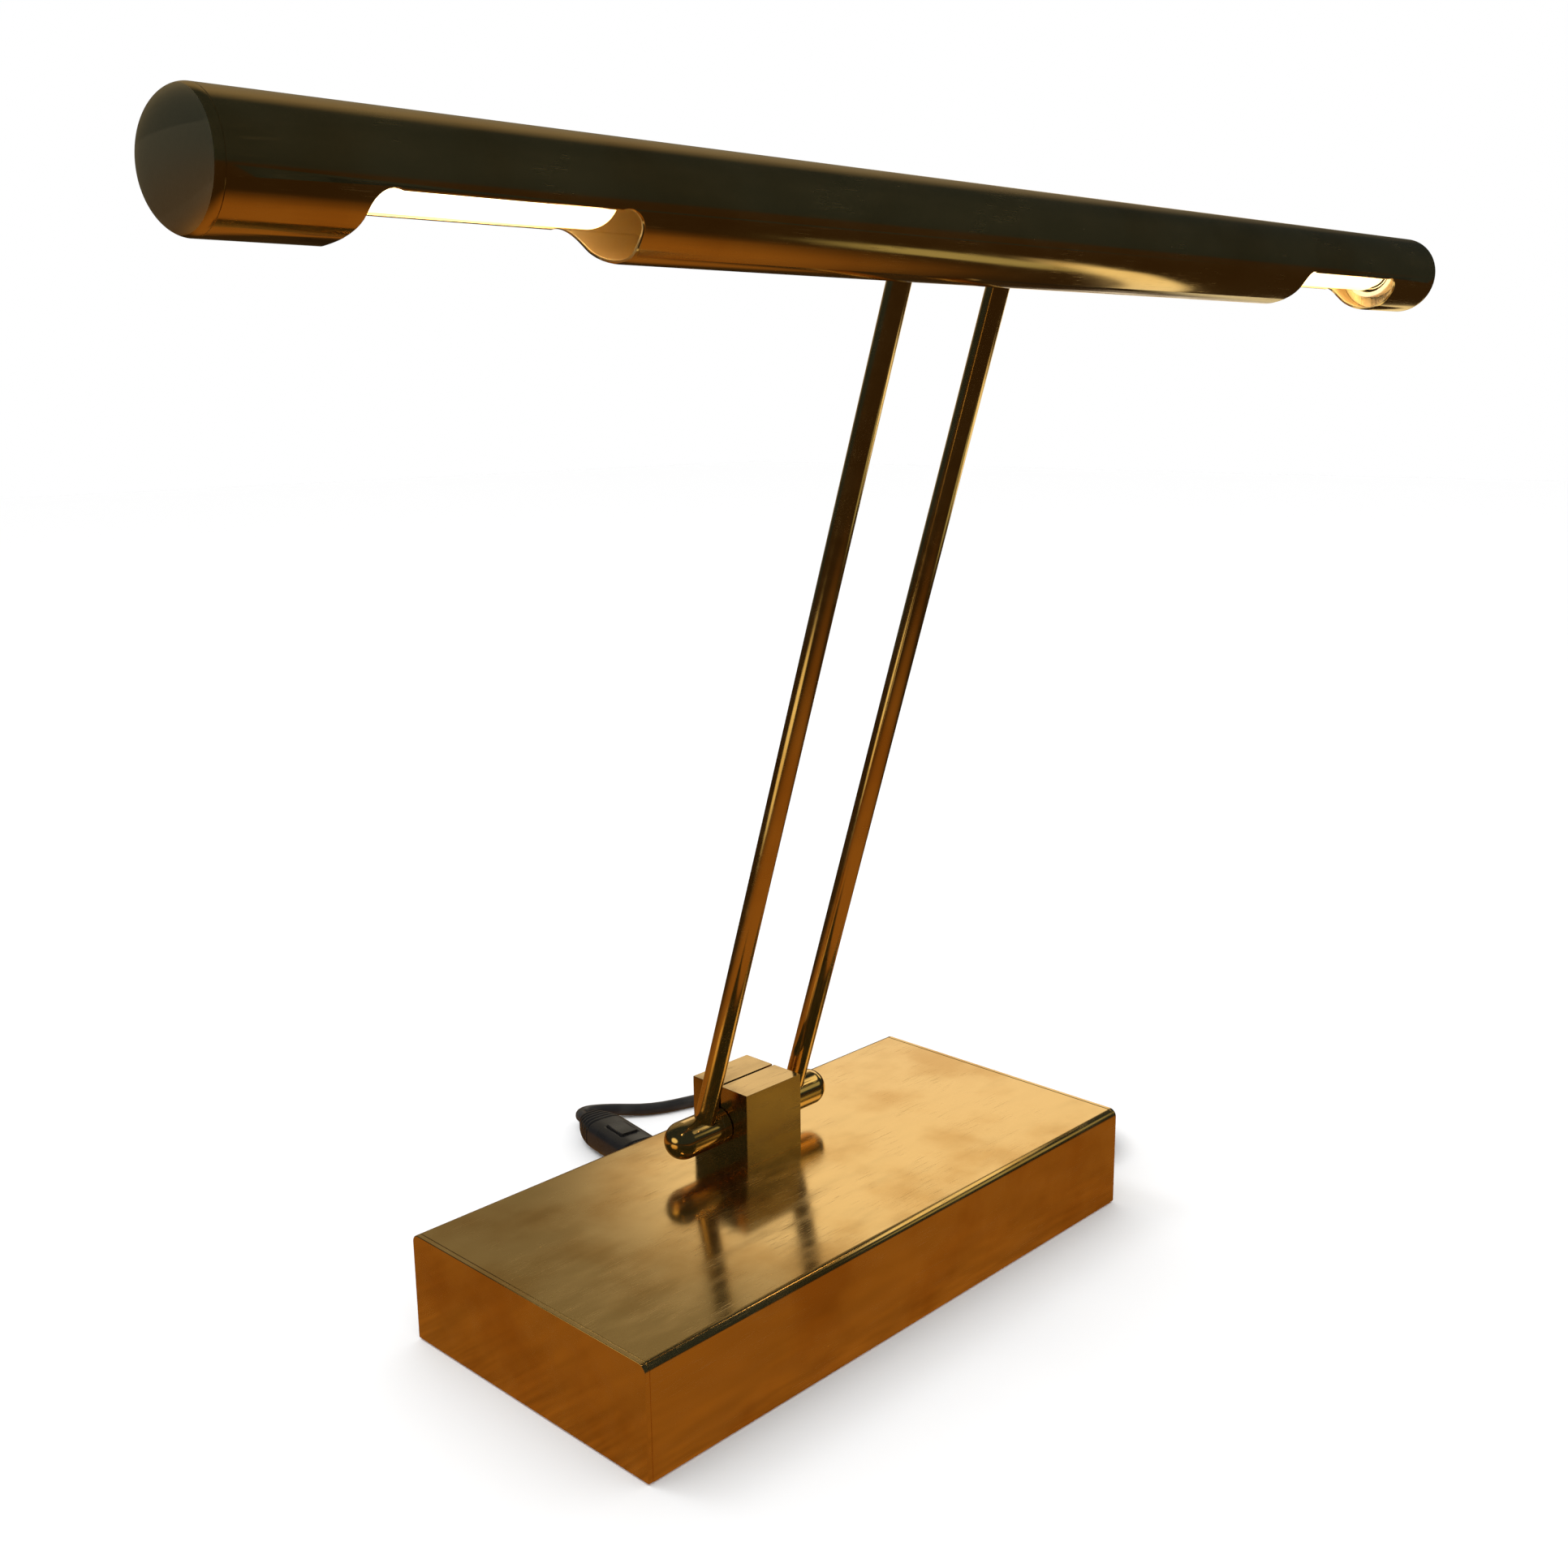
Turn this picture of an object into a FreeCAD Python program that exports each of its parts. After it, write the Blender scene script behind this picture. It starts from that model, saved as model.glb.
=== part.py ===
import FreeCAD, Part
import math
import os
import re

# A piano lamp: a folded brass base, a split hinge block with a ball-ended axle, two thin rods and a
# long tube shade with a window over each bulb. Origin: bottom centre of the base on the table, +X along
# the base, -Y to the front (the side the shade leans to), +Z up. Lengths in mm, angles in degrees.

SIZES = {
    "base_length": 262, "base_width": 126, "base_height": 42,
    "cover_wall": 1.5, "cover_edge_radius": 3.2, "cover_lift": 0.6, "end_plate": 2,
    "pad_thickness": 2.5, "pad_inset": 0.4, "plate_thickness": 2,
    "ballast_length": 200, "ballast_width": 96, "ballast_height": 14,
    "bracket_depth": 10, "bracket_height": 10, "base_screw_spread": 90,
    "screw_diameter": 3, "screw_head": 6, "screw_head_height": 1.8, "screw_reach": 10, "screw_play": 0.05,
    "ballast_screw_spread": 120,
    "block_side": 30, "block_height": 30, "block_x": 2.5, "block_y": 26, "axle_rise": 14, "slit_width": 1.2,
    "spreader_length": 60, "spreader_width": 26, "spreader_thickness": 2,
    "block_screw_spread": 18, "block_screw_diameter": 5, "block_screw_head": 8.5,
    "block_screw_head_height": 3, "block_screw_reach": 7,
    "clamp_screw_diameter": 4, "clamp_screw_head": 7, "clamp_screw_head_height": 4, "clamp_screw_rise": 11,
    "clamp_screw_end": 5, "clamp_screw_sink": 0.2, "clamp_screw_socket": 3, "clamp_screw_socket_depth": 2,
    "axle_diameter": 11, "axle_play": 0.05, "axle_bore": 6,
    "knob_diameter": 14.8, "knob_length": 22.8, "knob_bore_depth": 12, "collar_length": 4, "side_gap": 0.3,
    "rod_spread": 50, "rod_diameter": 8, "rod_wall": 1, "rod_play": 0.04, "rod_foot": 0.5,
    "arm_length": 346, "arm_lean": 17.5, "lead_diameter": 5.2,
    "head_diameter": 10.6, "head_drop": 8, "spigot_length": 6,
    "upper_axle_diameter": 5, "upper_axle_bore": 2.4, "nut_diameter": 8, "nut_length": 5, "nut_overlap": 0.6,
    "shade_reach": 20.3, "shade_length": 537, "shade_diameter": 29, "shade_wall": 1, "shade_turn": 5.3,
    "cap_depth": 8.5, "cap_spigot": 5, "cap_play": 0.05,
    "window_end_gap": 32, "window_length": 75, "window_height": 5, "window_slope": 16,
    "shade_block_width": 12, "shade_block_rear": 6.5, "port_diameter": 3.4,
    "shade_screw_spread": 26, "shade_screw_reach": 2.2, "screw_head_lift": 0.3,
    "holder_end_gap": 2.5, "holder_length": 26, "holder_diameter": 21, "holder_bore": 17.4, "holder_back": 3,
    "lamp_lift": 1, "holder_wire_place": 4.5,
    "shell_wall": 0.5, "shell_gap": 0.3, "disc_thickness": 2, "disc_play": 0.1, "disc_setback": 5,
    "bulb_diameter": 16, "bulb_glass_length": 80, "bulb_glass_wall": 0.8, "bulb_seat": 1,
    "bulb_cap_diameter": 13.5, "bulb_cap_length": 21, "bulb_cap_taper": 4, "bulb_neck_length": 6,
    "shade_lead_diameter": 2.2, "shade_lead_start": 4, "shade_lead_gap": 0.5,
    "cord_diameter": 5.5, "cord_exit_x": 14, "cord_exit_z": 7, "relief_length": 22, "relief_root": 12.4,
    "relief_tip": 7.4, "bush_flange": 13.6, "bush_flange_thickness": 1.6, "inner_cord_length": 34,
    "clamp_bridge_width": 8, "clamp_bridge_span": 26, "clamp_bridge_thickness": 1.5,
    "terminal_length": 24, "terminal_width": 16, "terminal_height": 12, "terminal_x": 50,
    "relief_neck_length": 4.5, "relief_neck": 10.4, "notch_margin": 1.6, "clamp_room": 8,
    "switch_near_y": 94, "switch_length": 60, "switch_turn": 9, "switch_width": 20, "switch_height": 13.5,
    "switch_nose": 17, "nose_tip_width": 10, "nose_tip_height": 9.5, "switch_wall": 1.6,
    "contact_length": 6, "contact_width": 3, "contact_thickness": 1, "contact_spread": 16,
    "rocker_length": 13, "rocker_width": 8, "rocker_depth": 5, "rocker_rise": 1, "rocker_dip": 0.5,
    "rocker_gap": 0.6, "rocker_pin_diameter": 1.6, "rocker_pin_play": 0.05, "rocker_pin_depth": 3.2,
    "hank_x": 161, "hank_near_y": -10, "hank_far_y": 84, "hank_fold": 16.5, "hank_pitch": 6.2,
    "hank_step": 6.1, "hank_waist": 6, "hank_lift": 0.9, "hank_entry_angle": 68,
    "tie_width": 10, "tie_thickness": 0.8, "tie_gap": 0.3,
    "plug_setback": 65, "plug_y": 84.5, "plug_z": 6.85,
    "plug_length": 34, "plug_width": 35, "plug_thickness": 13.7,
    "plug_relief_length": 16, "plug_relief_root": 10, "plug_relief_tip": 7.2,
    "pin_length": 19, "pin_diameter": 4, "pin_spread": 19,
}

doc = FreeCAD.newDocument("PianoLamp")
sheet = doc.addObject("Spreadsheet::Sheet", "Sizes")
for row, (alias, value) in enumerate(SIZES.items(), 1):
    sheet.set(f"A{row}", alias)
    sheet.set(f"B{row}", str(value))
    sheet.setAlias(f"B{row}", alias)
doc.recompute()

AXES = {
    "X": FreeCAD.Rotation(FreeCAD.Vector(0, 1, 0), 90),
    "Y": FreeCAD.Rotation(FreeCAD.Vector(1, 0, 0), -90),
    "Z": FreeCAD.Rotation(),
}
SIDES = (("left", -1), ("right", 1))
nodes = {}


def size(alias):
    return float(sheet.get(alias))


def vector(x, y, z=0.0):
    return FreeCAD.Vector(x, y, z)


def formula(text):
    """Turns plain size names into references to the sheet."""
    def reference(match):
        word = match.group()
        return f"Sizes.{word}" if word in SIZES else word

    return re.sub(r"[a-z][a-z_]*", reference, str(text))


def bind(thing, **properties):
    for name, text in properties.items():
        thing.setExpression(name, formula(text))
    return thing


def put(thing, x=0, y=0, z=0, along="Z"):
    thing.Placement = FreeCAD.Placement(FreeCAD.Vector(), AXES[along])
    for axis, text in (("x", x), ("y", y), ("z", z)):
        thing.setExpression(f"Placement.Base.{axis}", formula(text))
    return thing


def turn(thing, axis, angle, x=0, y=0, z=0):
    """Turns a finished piece about one axis by a size, then moves it."""
    thing.Placement = FreeCAD.Placement(FreeCAD.Vector(), FreeCAD.Rotation(axis, 1))
    thing.setExpression("Placement.Rotation.Angle", formula(angle))
    for name, text in (("x", x), ("y", y), ("z", z)):
        thing.setExpression(f"Placement.Base.{name}", formula(text))
    return thing


def box(dx, dy, dz, x=0, y=0, z=0):
    """A box centred in X and Y on the point, standing on it."""
    thing = bind(doc.addObject("Part::Box", "box"), Length=dx, Width=dy, Height=dz)
    return put(thing, f"({x}) - ({dx}) / 2", f"({y}) - ({dy}) / 2", z)


def cylinder(diameter, length, x=0, y=0, z=0, along="Z"):
    thing = bind(doc.addObject("Part::Cylinder", "cylinder"), Radius=f"({diameter}) / 2", Height=length)
    return put(thing, x, y, z, along)


def cone(diameter, end_diameter, length, x=0, y=0, z=0, along="Z"):
    thing = doc.addObject("Part::Cone", "cone")
    bind(thing, Radius1=f"({diameter}) / 2", Radius2=f"({end_diameter}) / 2", Height=length)
    return put(thing, x, y, z, along)


def ball(diameter, x=0, y=0, z=0):
    return put(bind(doc.addObject("Part::Sphere", "ball"), Radius=f"({diameter}) / 2"), x, y, z)


def fuse(*parts):
    thing = doc.addObject("Part::MultiFuse", "fuse")
    thing.Shapes = list(parts)
    thing.Refine = True
    return thing


def cut(base, *tools):
    thing = doc.addObject("Part::Cut", "cut")
    thing.Base = base
    thing.Tool = tools[0] if len(tools) == 1 else fuse(*tools)
    return thing


def group(*parts):
    thing = doc.addObject("Part::Compound", "group")
    thing.Links = list(parts)
    return thing


def keep(name, thing):
    thing.Label = name
    nodes[name] = thing
    return thing


def rounded_bar(length, width, height, radius, z):
    """A bar along X whose two long top edges are rounded."""
    body = box(length, width, f"({height}) - ({radius})", 0, 0, z)
    top = box(length, f"({width}) - 2 * ({radius})", height, 0, 0, z)
    edges = [
        cylinder(f"2 * ({radius})", length, f"-({length}) / 2", f"{side} * (({width}) / 2 - ({radius}))",
                 f"({z}) + ({height}) - ({radius})", "X")
        for side in (-1, 1)
    ]
    return fuse(body, top, *edges)


# Base

INSIDE_WIDTH = "base_width - 2 * cover_wall - 2 * pad_inset"
INSIDE_LENGTH = "base_length - 2 * end_plate - 2 * pad_inset"
PLATE_TOP = "pad_thickness + plate_thickness"
COVER_HEIGHT = "base_height - cover_lift"
BRACKET_X = "base_length / 2 - end_plate - bracket_depth / 2"
BLOCK_SCREWS = [f"block_x + {side} * block_screw_spread / 2" for side in (-1, 1)]
WALL_Y = "base_width / 2"
CORD_END_Y = f"{WALL_Y} - relief_neck_length"


def base_cover():
    outer = rounded_bar("base_length - 2 * end_plate", "base_width", COVER_HEIGHT, "cover_edge_radius",
                        "cover_lift")
    inner = rounded_bar("base_length", "base_width - 2 * cover_wall", f"{COVER_HEIGHT} - cover_wall",
                        "cover_edge_radius - cover_wall", "cover_lift")
    wire_hole = cylinder("axle_bore", "2 * base_height", "block_x", "block_y")
    screw_holes = [
        cylinder("block_screw_diameter + 2 * screw_play", "2 * base_height", x, "block_y")
        for x in BLOCK_SCREWS
    ]
    cord_hole = cylinder("relief_neck + 2 * screw_play", "base_width", "cord_exit_x", 0, "cord_exit_z", "Y")
    keep("base_cover", cut(outer, inner, wire_hole, *screw_holes, cord_hole))


def base_ends():
    for name, side in SIDES:
        plate = rounded_bar("end_plate", "base_width", COVER_HEIGHT, "cover_edge_radius", "cover_lift")
        piece = group(plate)
        keep(f"base_end_{name}", put(piece, f"{side} * (base_length / 2 - end_plate / 2)"))


def screw_places():
    """Foot screws: four through the corners into the brackets and two into the ballast."""
    corners = [(f"{sx} * ({BRACKET_X})", f"{sy} * base_screw_spread / 2") for sx in (-1, 1) for sy in (-1, 1)]
    return corners + [(f"{sx} * ballast_screw_spread / 2", "0") for sx in (-1, 1)]


def base_bottom():
    notch_width = "relief_root + notch_margin"
    cord_room = box(notch_width, "inner_cord_length + 2 * clamp_room", "base_height", "cord_exit_x",
                    f"{WALL_Y} - inner_cord_length / 2")
    neck_room = box(notch_width, "2 * (relief_neck_length + 1)", "base_height", "cord_exit_x", WALL_Y)
    pad_holes = [
        cylinder("screw_head + 1", "3 * pad_thickness", x, y, "-pad_thickness")
        for x, y in screw_places()
    ]
    keep("base_pad", cut(box(INSIDE_LENGTH, INSIDE_WIDTH, "pad_thickness"), neck_room, *pad_holes))
    holes = [cylinder("screw_diameter + 2 * screw_play", "base_height", x, y) for x, y in screw_places()]
    plate = box(INSIDE_LENGTH, INSIDE_WIDTH, "plate_thickness", 0, 0, "pad_thickness")
    keep("bottom_plate", cut(plate, cord_room, *holes))
    screws = []
    for x, y in screw_places():
        head = cylinder("screw_head", "screw_head_height", x, y, "pad_thickness - screw_head_height")
        shank = cylinder("screw_diameter", "plate_thickness + screw_reach", x, y, "pad_thickness")
        screws.append(fuse(head, shank))
    keep("foot_screws", group(*screws))


def ballast():
    holes = [
        cylinder("screw_diameter + 2 * screw_play", "base_height", f"{side} * ballast_screw_spread / 2", 0)
        for side in (-1, 1)
    ]
    weight = box("ballast_length", "ballast_width", "ballast_height", 0, 0, PLATE_TOP)
    pocket = box("clamp_bridge_span + clamp_room", "inner_cord_length + clamp_room - 2", "ballast_height + 1",
                 "cord_exit_x", "(ballast_width - inner_cord_length + clamp_room - 2) / 2", PLATE_TOP)
    keep("ballast_weight", cut(weight, pocket, *holes))
    brackets = []
    for side in (-1, 1):
        bar = box("bracket_depth", INSIDE_WIDTH, "bracket_height", f"{side} * ({BRACKET_X})", 0, PLATE_TOP)
        tapped = [
            cylinder("screw_diameter + 2 * screw_play", "base_height", f"{side} * ({BRACKET_X})",
                     f"{sy} * base_screw_spread / 2")
            for sy in (-1, 1)
        ]
        brackets.append(cut(bar, *tapped))
    keep("cover_brackets", group(*brackets))


def cord_entry():
    relief = cone("relief_root", "relief_tip", "relief_length", "cord_exit_x",
                  f"{WALL_Y} + bush_flange_thickness", "cord_exit_z", "Y")
    flange = cylinder("bush_flange", "bush_flange_thickness", "cord_exit_x", WALL_Y, "cord_exit_z", "Y")
    neck = cylinder("relief_neck", "relief_neck_length", "cord_exit_x", CORD_END_Y, "cord_exit_z", "Y")
    keep("strain_relief", fuse(relief, flange, neck))
    keep("inner_cord", cylinder("cord_diameter", "inner_cord_length", "cord_exit_x",
                                f"{CORD_END_Y} - inner_cord_length", "cord_exit_z", "Y"))
    clamp_y = f"{CORD_END_Y} - inner_cord_length / 2"
    bridge_top = "cord_exit_z + cord_diameter / 2 + 0.1"
    bridge = box("clamp_bridge_span", "clamp_bridge_width",
                 f"{bridge_top} + clamp_bridge_thickness - ({PLATE_TOP})", "cord_exit_x", clamp_y, PLATE_TOP)
    tunnel = box("cord_diameter + 0.4", "2 * clamp_bridge_width", f"{bridge_top} - ({PLATE_TOP})",
                 "cord_exit_x", clamp_y, PLATE_TOP)
    keep("cord_clamp", cut(bridge, tunnel))
    screws = [
        cylinder("screw_head", "screw_head_height", f"cord_exit_x + {side} * clamp_bridge_span / 3", clamp_y,
                 f"{bridge_top} + clamp_bridge_thickness")
        for side in (-1, 1)
    ]
    keep("cord_clamp_screws", group(*screws))
    block = box("terminal_length", "terminal_width", "terminal_height", "terminal_x", 0,
                f"{PLATE_TOP} + ballast_height")
    keep("terminal_block", group(block))


# Hinge block, its screws and the axle that turns in it

AXLE_Z = "base_height + axle_rise"
KNOB_START = "block_side / 2 + side_gap + collar_length"


def hinge_block():
    body = box("block_side", "block_side", "block_height", "block_x", "block_y", "base_height")
    bore = cylinder("axle_diameter + 2 * axle_play", "2 * block_side", "-block_side", "block_y", AXLE_Z, "X")
    slit = box("2 * block_side", "slit_width", "block_height", "block_x", "block_y", AXLE_Z)
    wire_hole = cylinder("axle_bore", "axle_rise", "block_x", "block_y", "base_height")
    screw_holes = [
        cylinder("block_screw_diameter + 2 * screw_play", "block_screw_reach + 1", x, "block_y",
                 "base_height")
        for x in BLOCK_SCREWS
    ]
    screw_z = f"{AXLE_Z} + clamp_screw_rise"
    front_y = "block_y - block_side / 2 + clamp_screw_end"
    rear_y = "block_y + block_side / 2"
    hole = cylinder("clamp_screw_diameter + 2 * screw_play", "block_side - clamp_screw_end", "block_x",
                    front_y, screw_z, "Y")
    seat = cylinder("clamp_screw_head + 2 * clamp_screw_sink", "clamp_screw_head_height", "block_x",
                    f"{rear_y} - clamp_screw_head_height", screw_z, "Y")
    keep("hinge_block", cut(body, bore, slit, wire_hole, hole, seat, *screw_holes))
    shank = cylinder("clamp_screw_diameter", "block_side - clamp_screw_end - clamp_screw_head_height - 0.5",
                     "block_x", f"{front_y} + 0.5", screw_z, "Y")
    head = cylinder("clamp_screw_head", "clamp_screw_head_height - clamp_screw_sink", "block_x",
                    f"{rear_y} - clamp_screw_head_height", screw_z, "Y")
    socket = cylinder("clamp_screw_socket", "clamp_screw_socket_depth", "block_x",
                      f"{rear_y} - clamp_screw_sink - clamp_screw_socket_depth", screw_z, "Y")
    keep("clamp_screw", cut(fuse(shank, head), socket))


def block_fastening():
    plate_z = "base_height - cover_wall - spreader_thickness"
    plate = box("spreader_length", "spreader_width", "spreader_thickness", "block_x", "block_y", plate_z)
    holes = [
        cylinder("block_screw_diameter + 2 * screw_play", "base_height", x, "block_y")
        for x in BLOCK_SCREWS
    ]
    wire_hole = cylinder("axle_bore", "base_height", "block_x", "block_y")
    keep("spreader_plate", cut(plate, wire_hole, *holes))
    screws = []
    for x in BLOCK_SCREWS:
        head = cylinder("block_screw_head", "block_screw_head_height", x, "block_y",
                        f"{plate_z} - block_screw_head_height")
        shank = cylinder("block_screw_diameter", "spreader_thickness + cover_wall + block_screw_reach", x,
                         "block_y", plate_z)
        screws.append(fuse(head, shank))
    keep("block_screws", group(*screws))


def lean(thing):
    """Leans an arm piece, made upright about the axle's centre, to the front."""
    return turn(thing, FreeCAD.Vector(1, 0, 0), "arm_lean", "block_x", "block_y", AXLE_Z)


def lower_axle():
    reach = f"{KNOB_START} + knob_bore_depth - 0.5"
    bar = cylinder("axle_diameter", f"2 * ({reach})", f"-({reach})", 0, 0, "X")
    bore = cylinder("axle_bore", f"2 * ({reach})", f"-({reach})", 0, 0, "X")
    port = cylinder("axle_bore", "axle_diameter", 0, 0, "-axle_diameter")
    seats = [
        cylinder("rod_diameter + 2 * rod_play", "axle_diameter", f"{side} * rod_spread / 2", 0, "rod_foot")
        for side in (-1, 1)
    ]
    keep("lower_axle", lean(cut(bar, bore, port, *seats)))
    for name, side in SIDES:
        start = "block_side / 2 + side_gap" if side > 0 else f"-({KNOB_START})"
        ring = cylinder("knob_diameter", "collar_length - 0.05", start, 0, 0, "X")
        hole = cylinder("axle_diameter + 2 * rod_play", "4 * collar_length", f"{start} - collar_length", 0, 0,
                        "X")
        keep(f"lower_collar_{name}", lean(cut(ring, hole)))


def lower_knobs():
    for name, side in SIDES:
        straight = "knob_length - knob_diameter / 2"
        start = KNOB_START if side > 0 else f"-({KNOB_START}) - ({straight})"
        barrel = cylinder("knob_diameter", straight, start, 0, 0, "X")
        end = ball("knob_diameter", f"{side} * ({KNOB_START} + {straight})")
        deep = KNOB_START if side > 0 else f"-({KNOB_START}) - knob_bore_depth"
        bore = cylinder("axle_diameter + 2 * rod_play", "knob_bore_depth", deep, 0, 0, "X")
        seat = cylinder("rod_diameter + 2 * rod_play", "knob_diameter", f"{side} * rod_spread / 2", 0,
                        "rod_foot")
        keep(f"lower_knob_{name}", lean(cut(fuse(barrel, end), bore, seat)))


# Arm rods and their heads

HEAD_FOOT = "arm_length - head_drop"


def arm_rods():
    leads = []
    for name, side in SIDES:
        x = f"{side} * rod_spread / 2"
        tube = cylinder("rod_diameter", f"{HEAD_FOOT} - rod_foot", x, 0, "rod_foot")
        bore = cylinder("rod_diameter - 2 * rod_wall", "arm_length", x, 0, 0)
        keep(f"arm_rod_{name}", lean(cut(tube, bore)))
        leads.append(cylinder("lead_diameter", f"{HEAD_FOOT} - spigot_length - 1 - rod_foot", x, 0,
                              "rod_foot"))
    keep("arm_leads", lean(group(*leads)))


def rod_heads():
    for name, side in SIDES:
        x = f"{side} * rod_spread / 2"
        neck = cylinder("rod_diameter", "head_drop", x, 0, HEAD_FOOT)
        spigot = cylinder("rod_diameter - 2 * rod_wall - 2 * rod_play", "spigot_length + 1", x, 0,
                          f"{HEAD_FOOT} - spigot_length")
        knob = ball("head_diameter", x, 0, "arm_length")
        wire = cylinder("upper_axle_bore", "arm_length", x, 0, 0)
        cross = cylinder("upper_axle_diameter + 2 * rod_play", "rod_spread * 2", "-rod_spread", 0,
                         "arm_length", "X")
        keep(f"rod_head_{name}", lean(cut(fuse(neck, spigot, knob), wire, cross)))
    half = "rod_spread / 2 + head_diameter / 2 + 2"
    bar = cylinder("upper_axle_diameter", f"2 * ({half})", f"-({half})", 0, "arm_length", "X")
    bore = cylinder("upper_axle_bore", f"2 * ({half})", f"-({half})", 0, "arm_length", "X")
    keep("upper_axle", lean(cut(bar, bore)))
    nuts = []
    seat = "rod_spread / 2 + head_diameter / 2 - nut_overlap"
    straight = "nut_length - nut_diameter / 4"
    for side in (-1, 1):
        start = seat if side > 0 else f"-({seat}) - ({straight})"
        barrel = cylinder("nut_diameter", straight, start, 0, "arm_length", "X")
        dome = doc.addObject("Part::Ellipsoid", "dome")
        bind(dome, Radius1="nut_diameter / 4", Radius2="nut_diameter / 2", Radius3="nut_diameter / 2")
        put(dome, f"{side} * ({seat} + {straight})", 0, "arm_length", "X")
        hole = cylinder("upper_axle_diameter + 2 * rod_play", f"2 * ({half}) + 0.2", f"-({half}) - 0.1", 0,
                        "arm_length", "X")
        clear = ball("head_diameter + 0.1", f"{side} * rod_spread / 2", 0, "arm_length")
        nuts.append(cut(fuse(barrel, dome), hole, clear))
    keep("axle_nuts", lean(group(*nuts)))


# Shade, made along X about its own axis with the windows straight down

SHADE_Y = "block_y - arm_length * sin(arm_lean) - shade_reach * cos(arm_lean)"
SHADE_Z = f"{AXLE_Z} + arm_length * cos(arm_lean) - shade_reach * sin(arm_lean)"
SHADE_BORE = "shade_diameter - 2 * shade_wall"
HOLDER_MOUTH = "shade_length / 2 - holder_end_gap - holder_length"
BULB_NECK = f"{HOLDER_MOUTH} + bulb_seat"
BULB_TIP = f"{BULB_NECK} - bulb_glass_length"


def hang(thing):
    """Places a shade piece, with its windows turned a little to the front."""
    return turn(thing, FreeCAD.Vector(-1, 0, 0), "shade_turn", "block_x", SHADE_Y, SHADE_Z)


def window_cutter(side):
    """A block with sloping, rounded ends that cuts one window from below."""
    length = size("window_length")
    start = size("shade_length") / 2 - size("window_end_gap") - length
    slope = size("window_slope")
    top = -size("window_height")
    low = -size("shade_diameter")
    half = size("shade_diameter") / 2
    ends = []
    for at, way in ((start, 1), (start + length, -1)):
        foot = FreeCAD.Vector(side * (at - way * slope / 2), -size("shade_diameter"), -half)
        knee = FreeCAD.Vector(side * (at + way * slope / 2), -size("shade_diameter"), top)
        middle = (foot + knee) / 2
        ends.append((foot, middle, knee))
    (foot_a, mid_a, knee_a), (foot_b, mid_b, knee_b) = ends
    step = FreeCAD.Vector(side * slope / 8, 0, 0)
    bow = FreeCAD.Vector(0, 0, (knee_a.z - foot_a.z) / 8)
    low_a = FreeCAD.Vector(foot_a.x, foot_a.y, low)
    low_b = FreeCAD.Vector(foot_b.x, foot_b.y, low)
    edges = [
        Part.LineSegment(low_a, foot_a).toShape(),
        Part.Arc(foot_a, (foot_a + mid_a) / 2 + step - bow, mid_a).toShape(),
        Part.Arc(mid_a, (mid_a + knee_a) / 2 - step + bow, knee_a).toShape(),
        Part.LineSegment(knee_a, knee_b).toShape(),
        Part.Arc(knee_b, (mid_b + knee_b) / 2 + step + bow, mid_b).toShape(),
        Part.Arc(mid_b, (foot_b + mid_b) / 2 - step - bow, foot_b).toShape(),
        Part.LineSegment(foot_b, low_b).toShape(),
        Part.LineSegment(low_b, low_a).toShape(),
    ]
    tool = doc.addObject("Part::Feature", "window_cutter")
    tool.Shape = Part.Face(Part.Wire(edges)).extrude(FreeCAD.Vector(0, 2 * size("shade_diameter"), 0))
    return tool


def shade_tube():
    half = "shade_length / 2"
    tube = cylinder("shade_diameter", "shade_length", f"-{half}", 0, 0, "X")
    bore = cylinder(SHADE_BORE, "shade_length", f"-{half}", 0, 0, "X")
    port = cylinder("port_diameter", "shade_diameter", 0, 0, 0)
    turn(port, FreeCAD.Vector(-1, 0, 0), "90 - arm_lean - shade_turn")
    screw_holes = []
    for side in (-1, 1):
        hole = cylinder("screw_diameter + 2 * screw_play", "shade_diameter")
        turn(hole, FreeCAD.Vector(-1, 0, 0), "90 - arm_lean - shade_turn", f"{side} * shade_screw_spread / 2")
        screw_holes.append(hole)
    windows = [window_cutter(side) for side in (-1, 1)]
    keep("shade_tube", hang(cut(tube, bore, port, *screw_holes, *windows)))


def shade_caps():
    for name, side in SIDES:
        dome = doc.addObject("Part::Ellipsoid", "dome")
        bind(dome, Radius1="cap_depth", Radius2="shade_diameter / 2", Radius3="shade_diameter / 2")
        put(dome, f"{side} * shade_length / 2", 0, 0, "X")
        outside = box("shade_length", "2 * shade_diameter", "2 * shade_diameter",
                      f"{side} * (shade_length / 2 + shade_length / 2)", 0, "-shade_diameter")
        shell = doc.addObject("Part::Common", "shell")
        shell.Base = dome
        shell.Tool = outside
        start = "shade_length / 2 - cap_spigot" if side > 0 else "-shade_length / 2 - 0.5"
        spigot = cylinder(f"{SHADE_BORE} - 2 * cap_play", "cap_spigot + 0.5", start, 0, 0, "X")
        hollow_start = "shade_length / 2 - cap_spigot" if side > 0 else "-shade_length / 2"
        hollow = cylinder(f"{SHADE_BORE} - 3", "cap_spigot", hollow_start, 0, 0, "X")
        keep(f"shade_cap_{name}", hang(cut(fuse(shell, spigot), hollow)))


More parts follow.
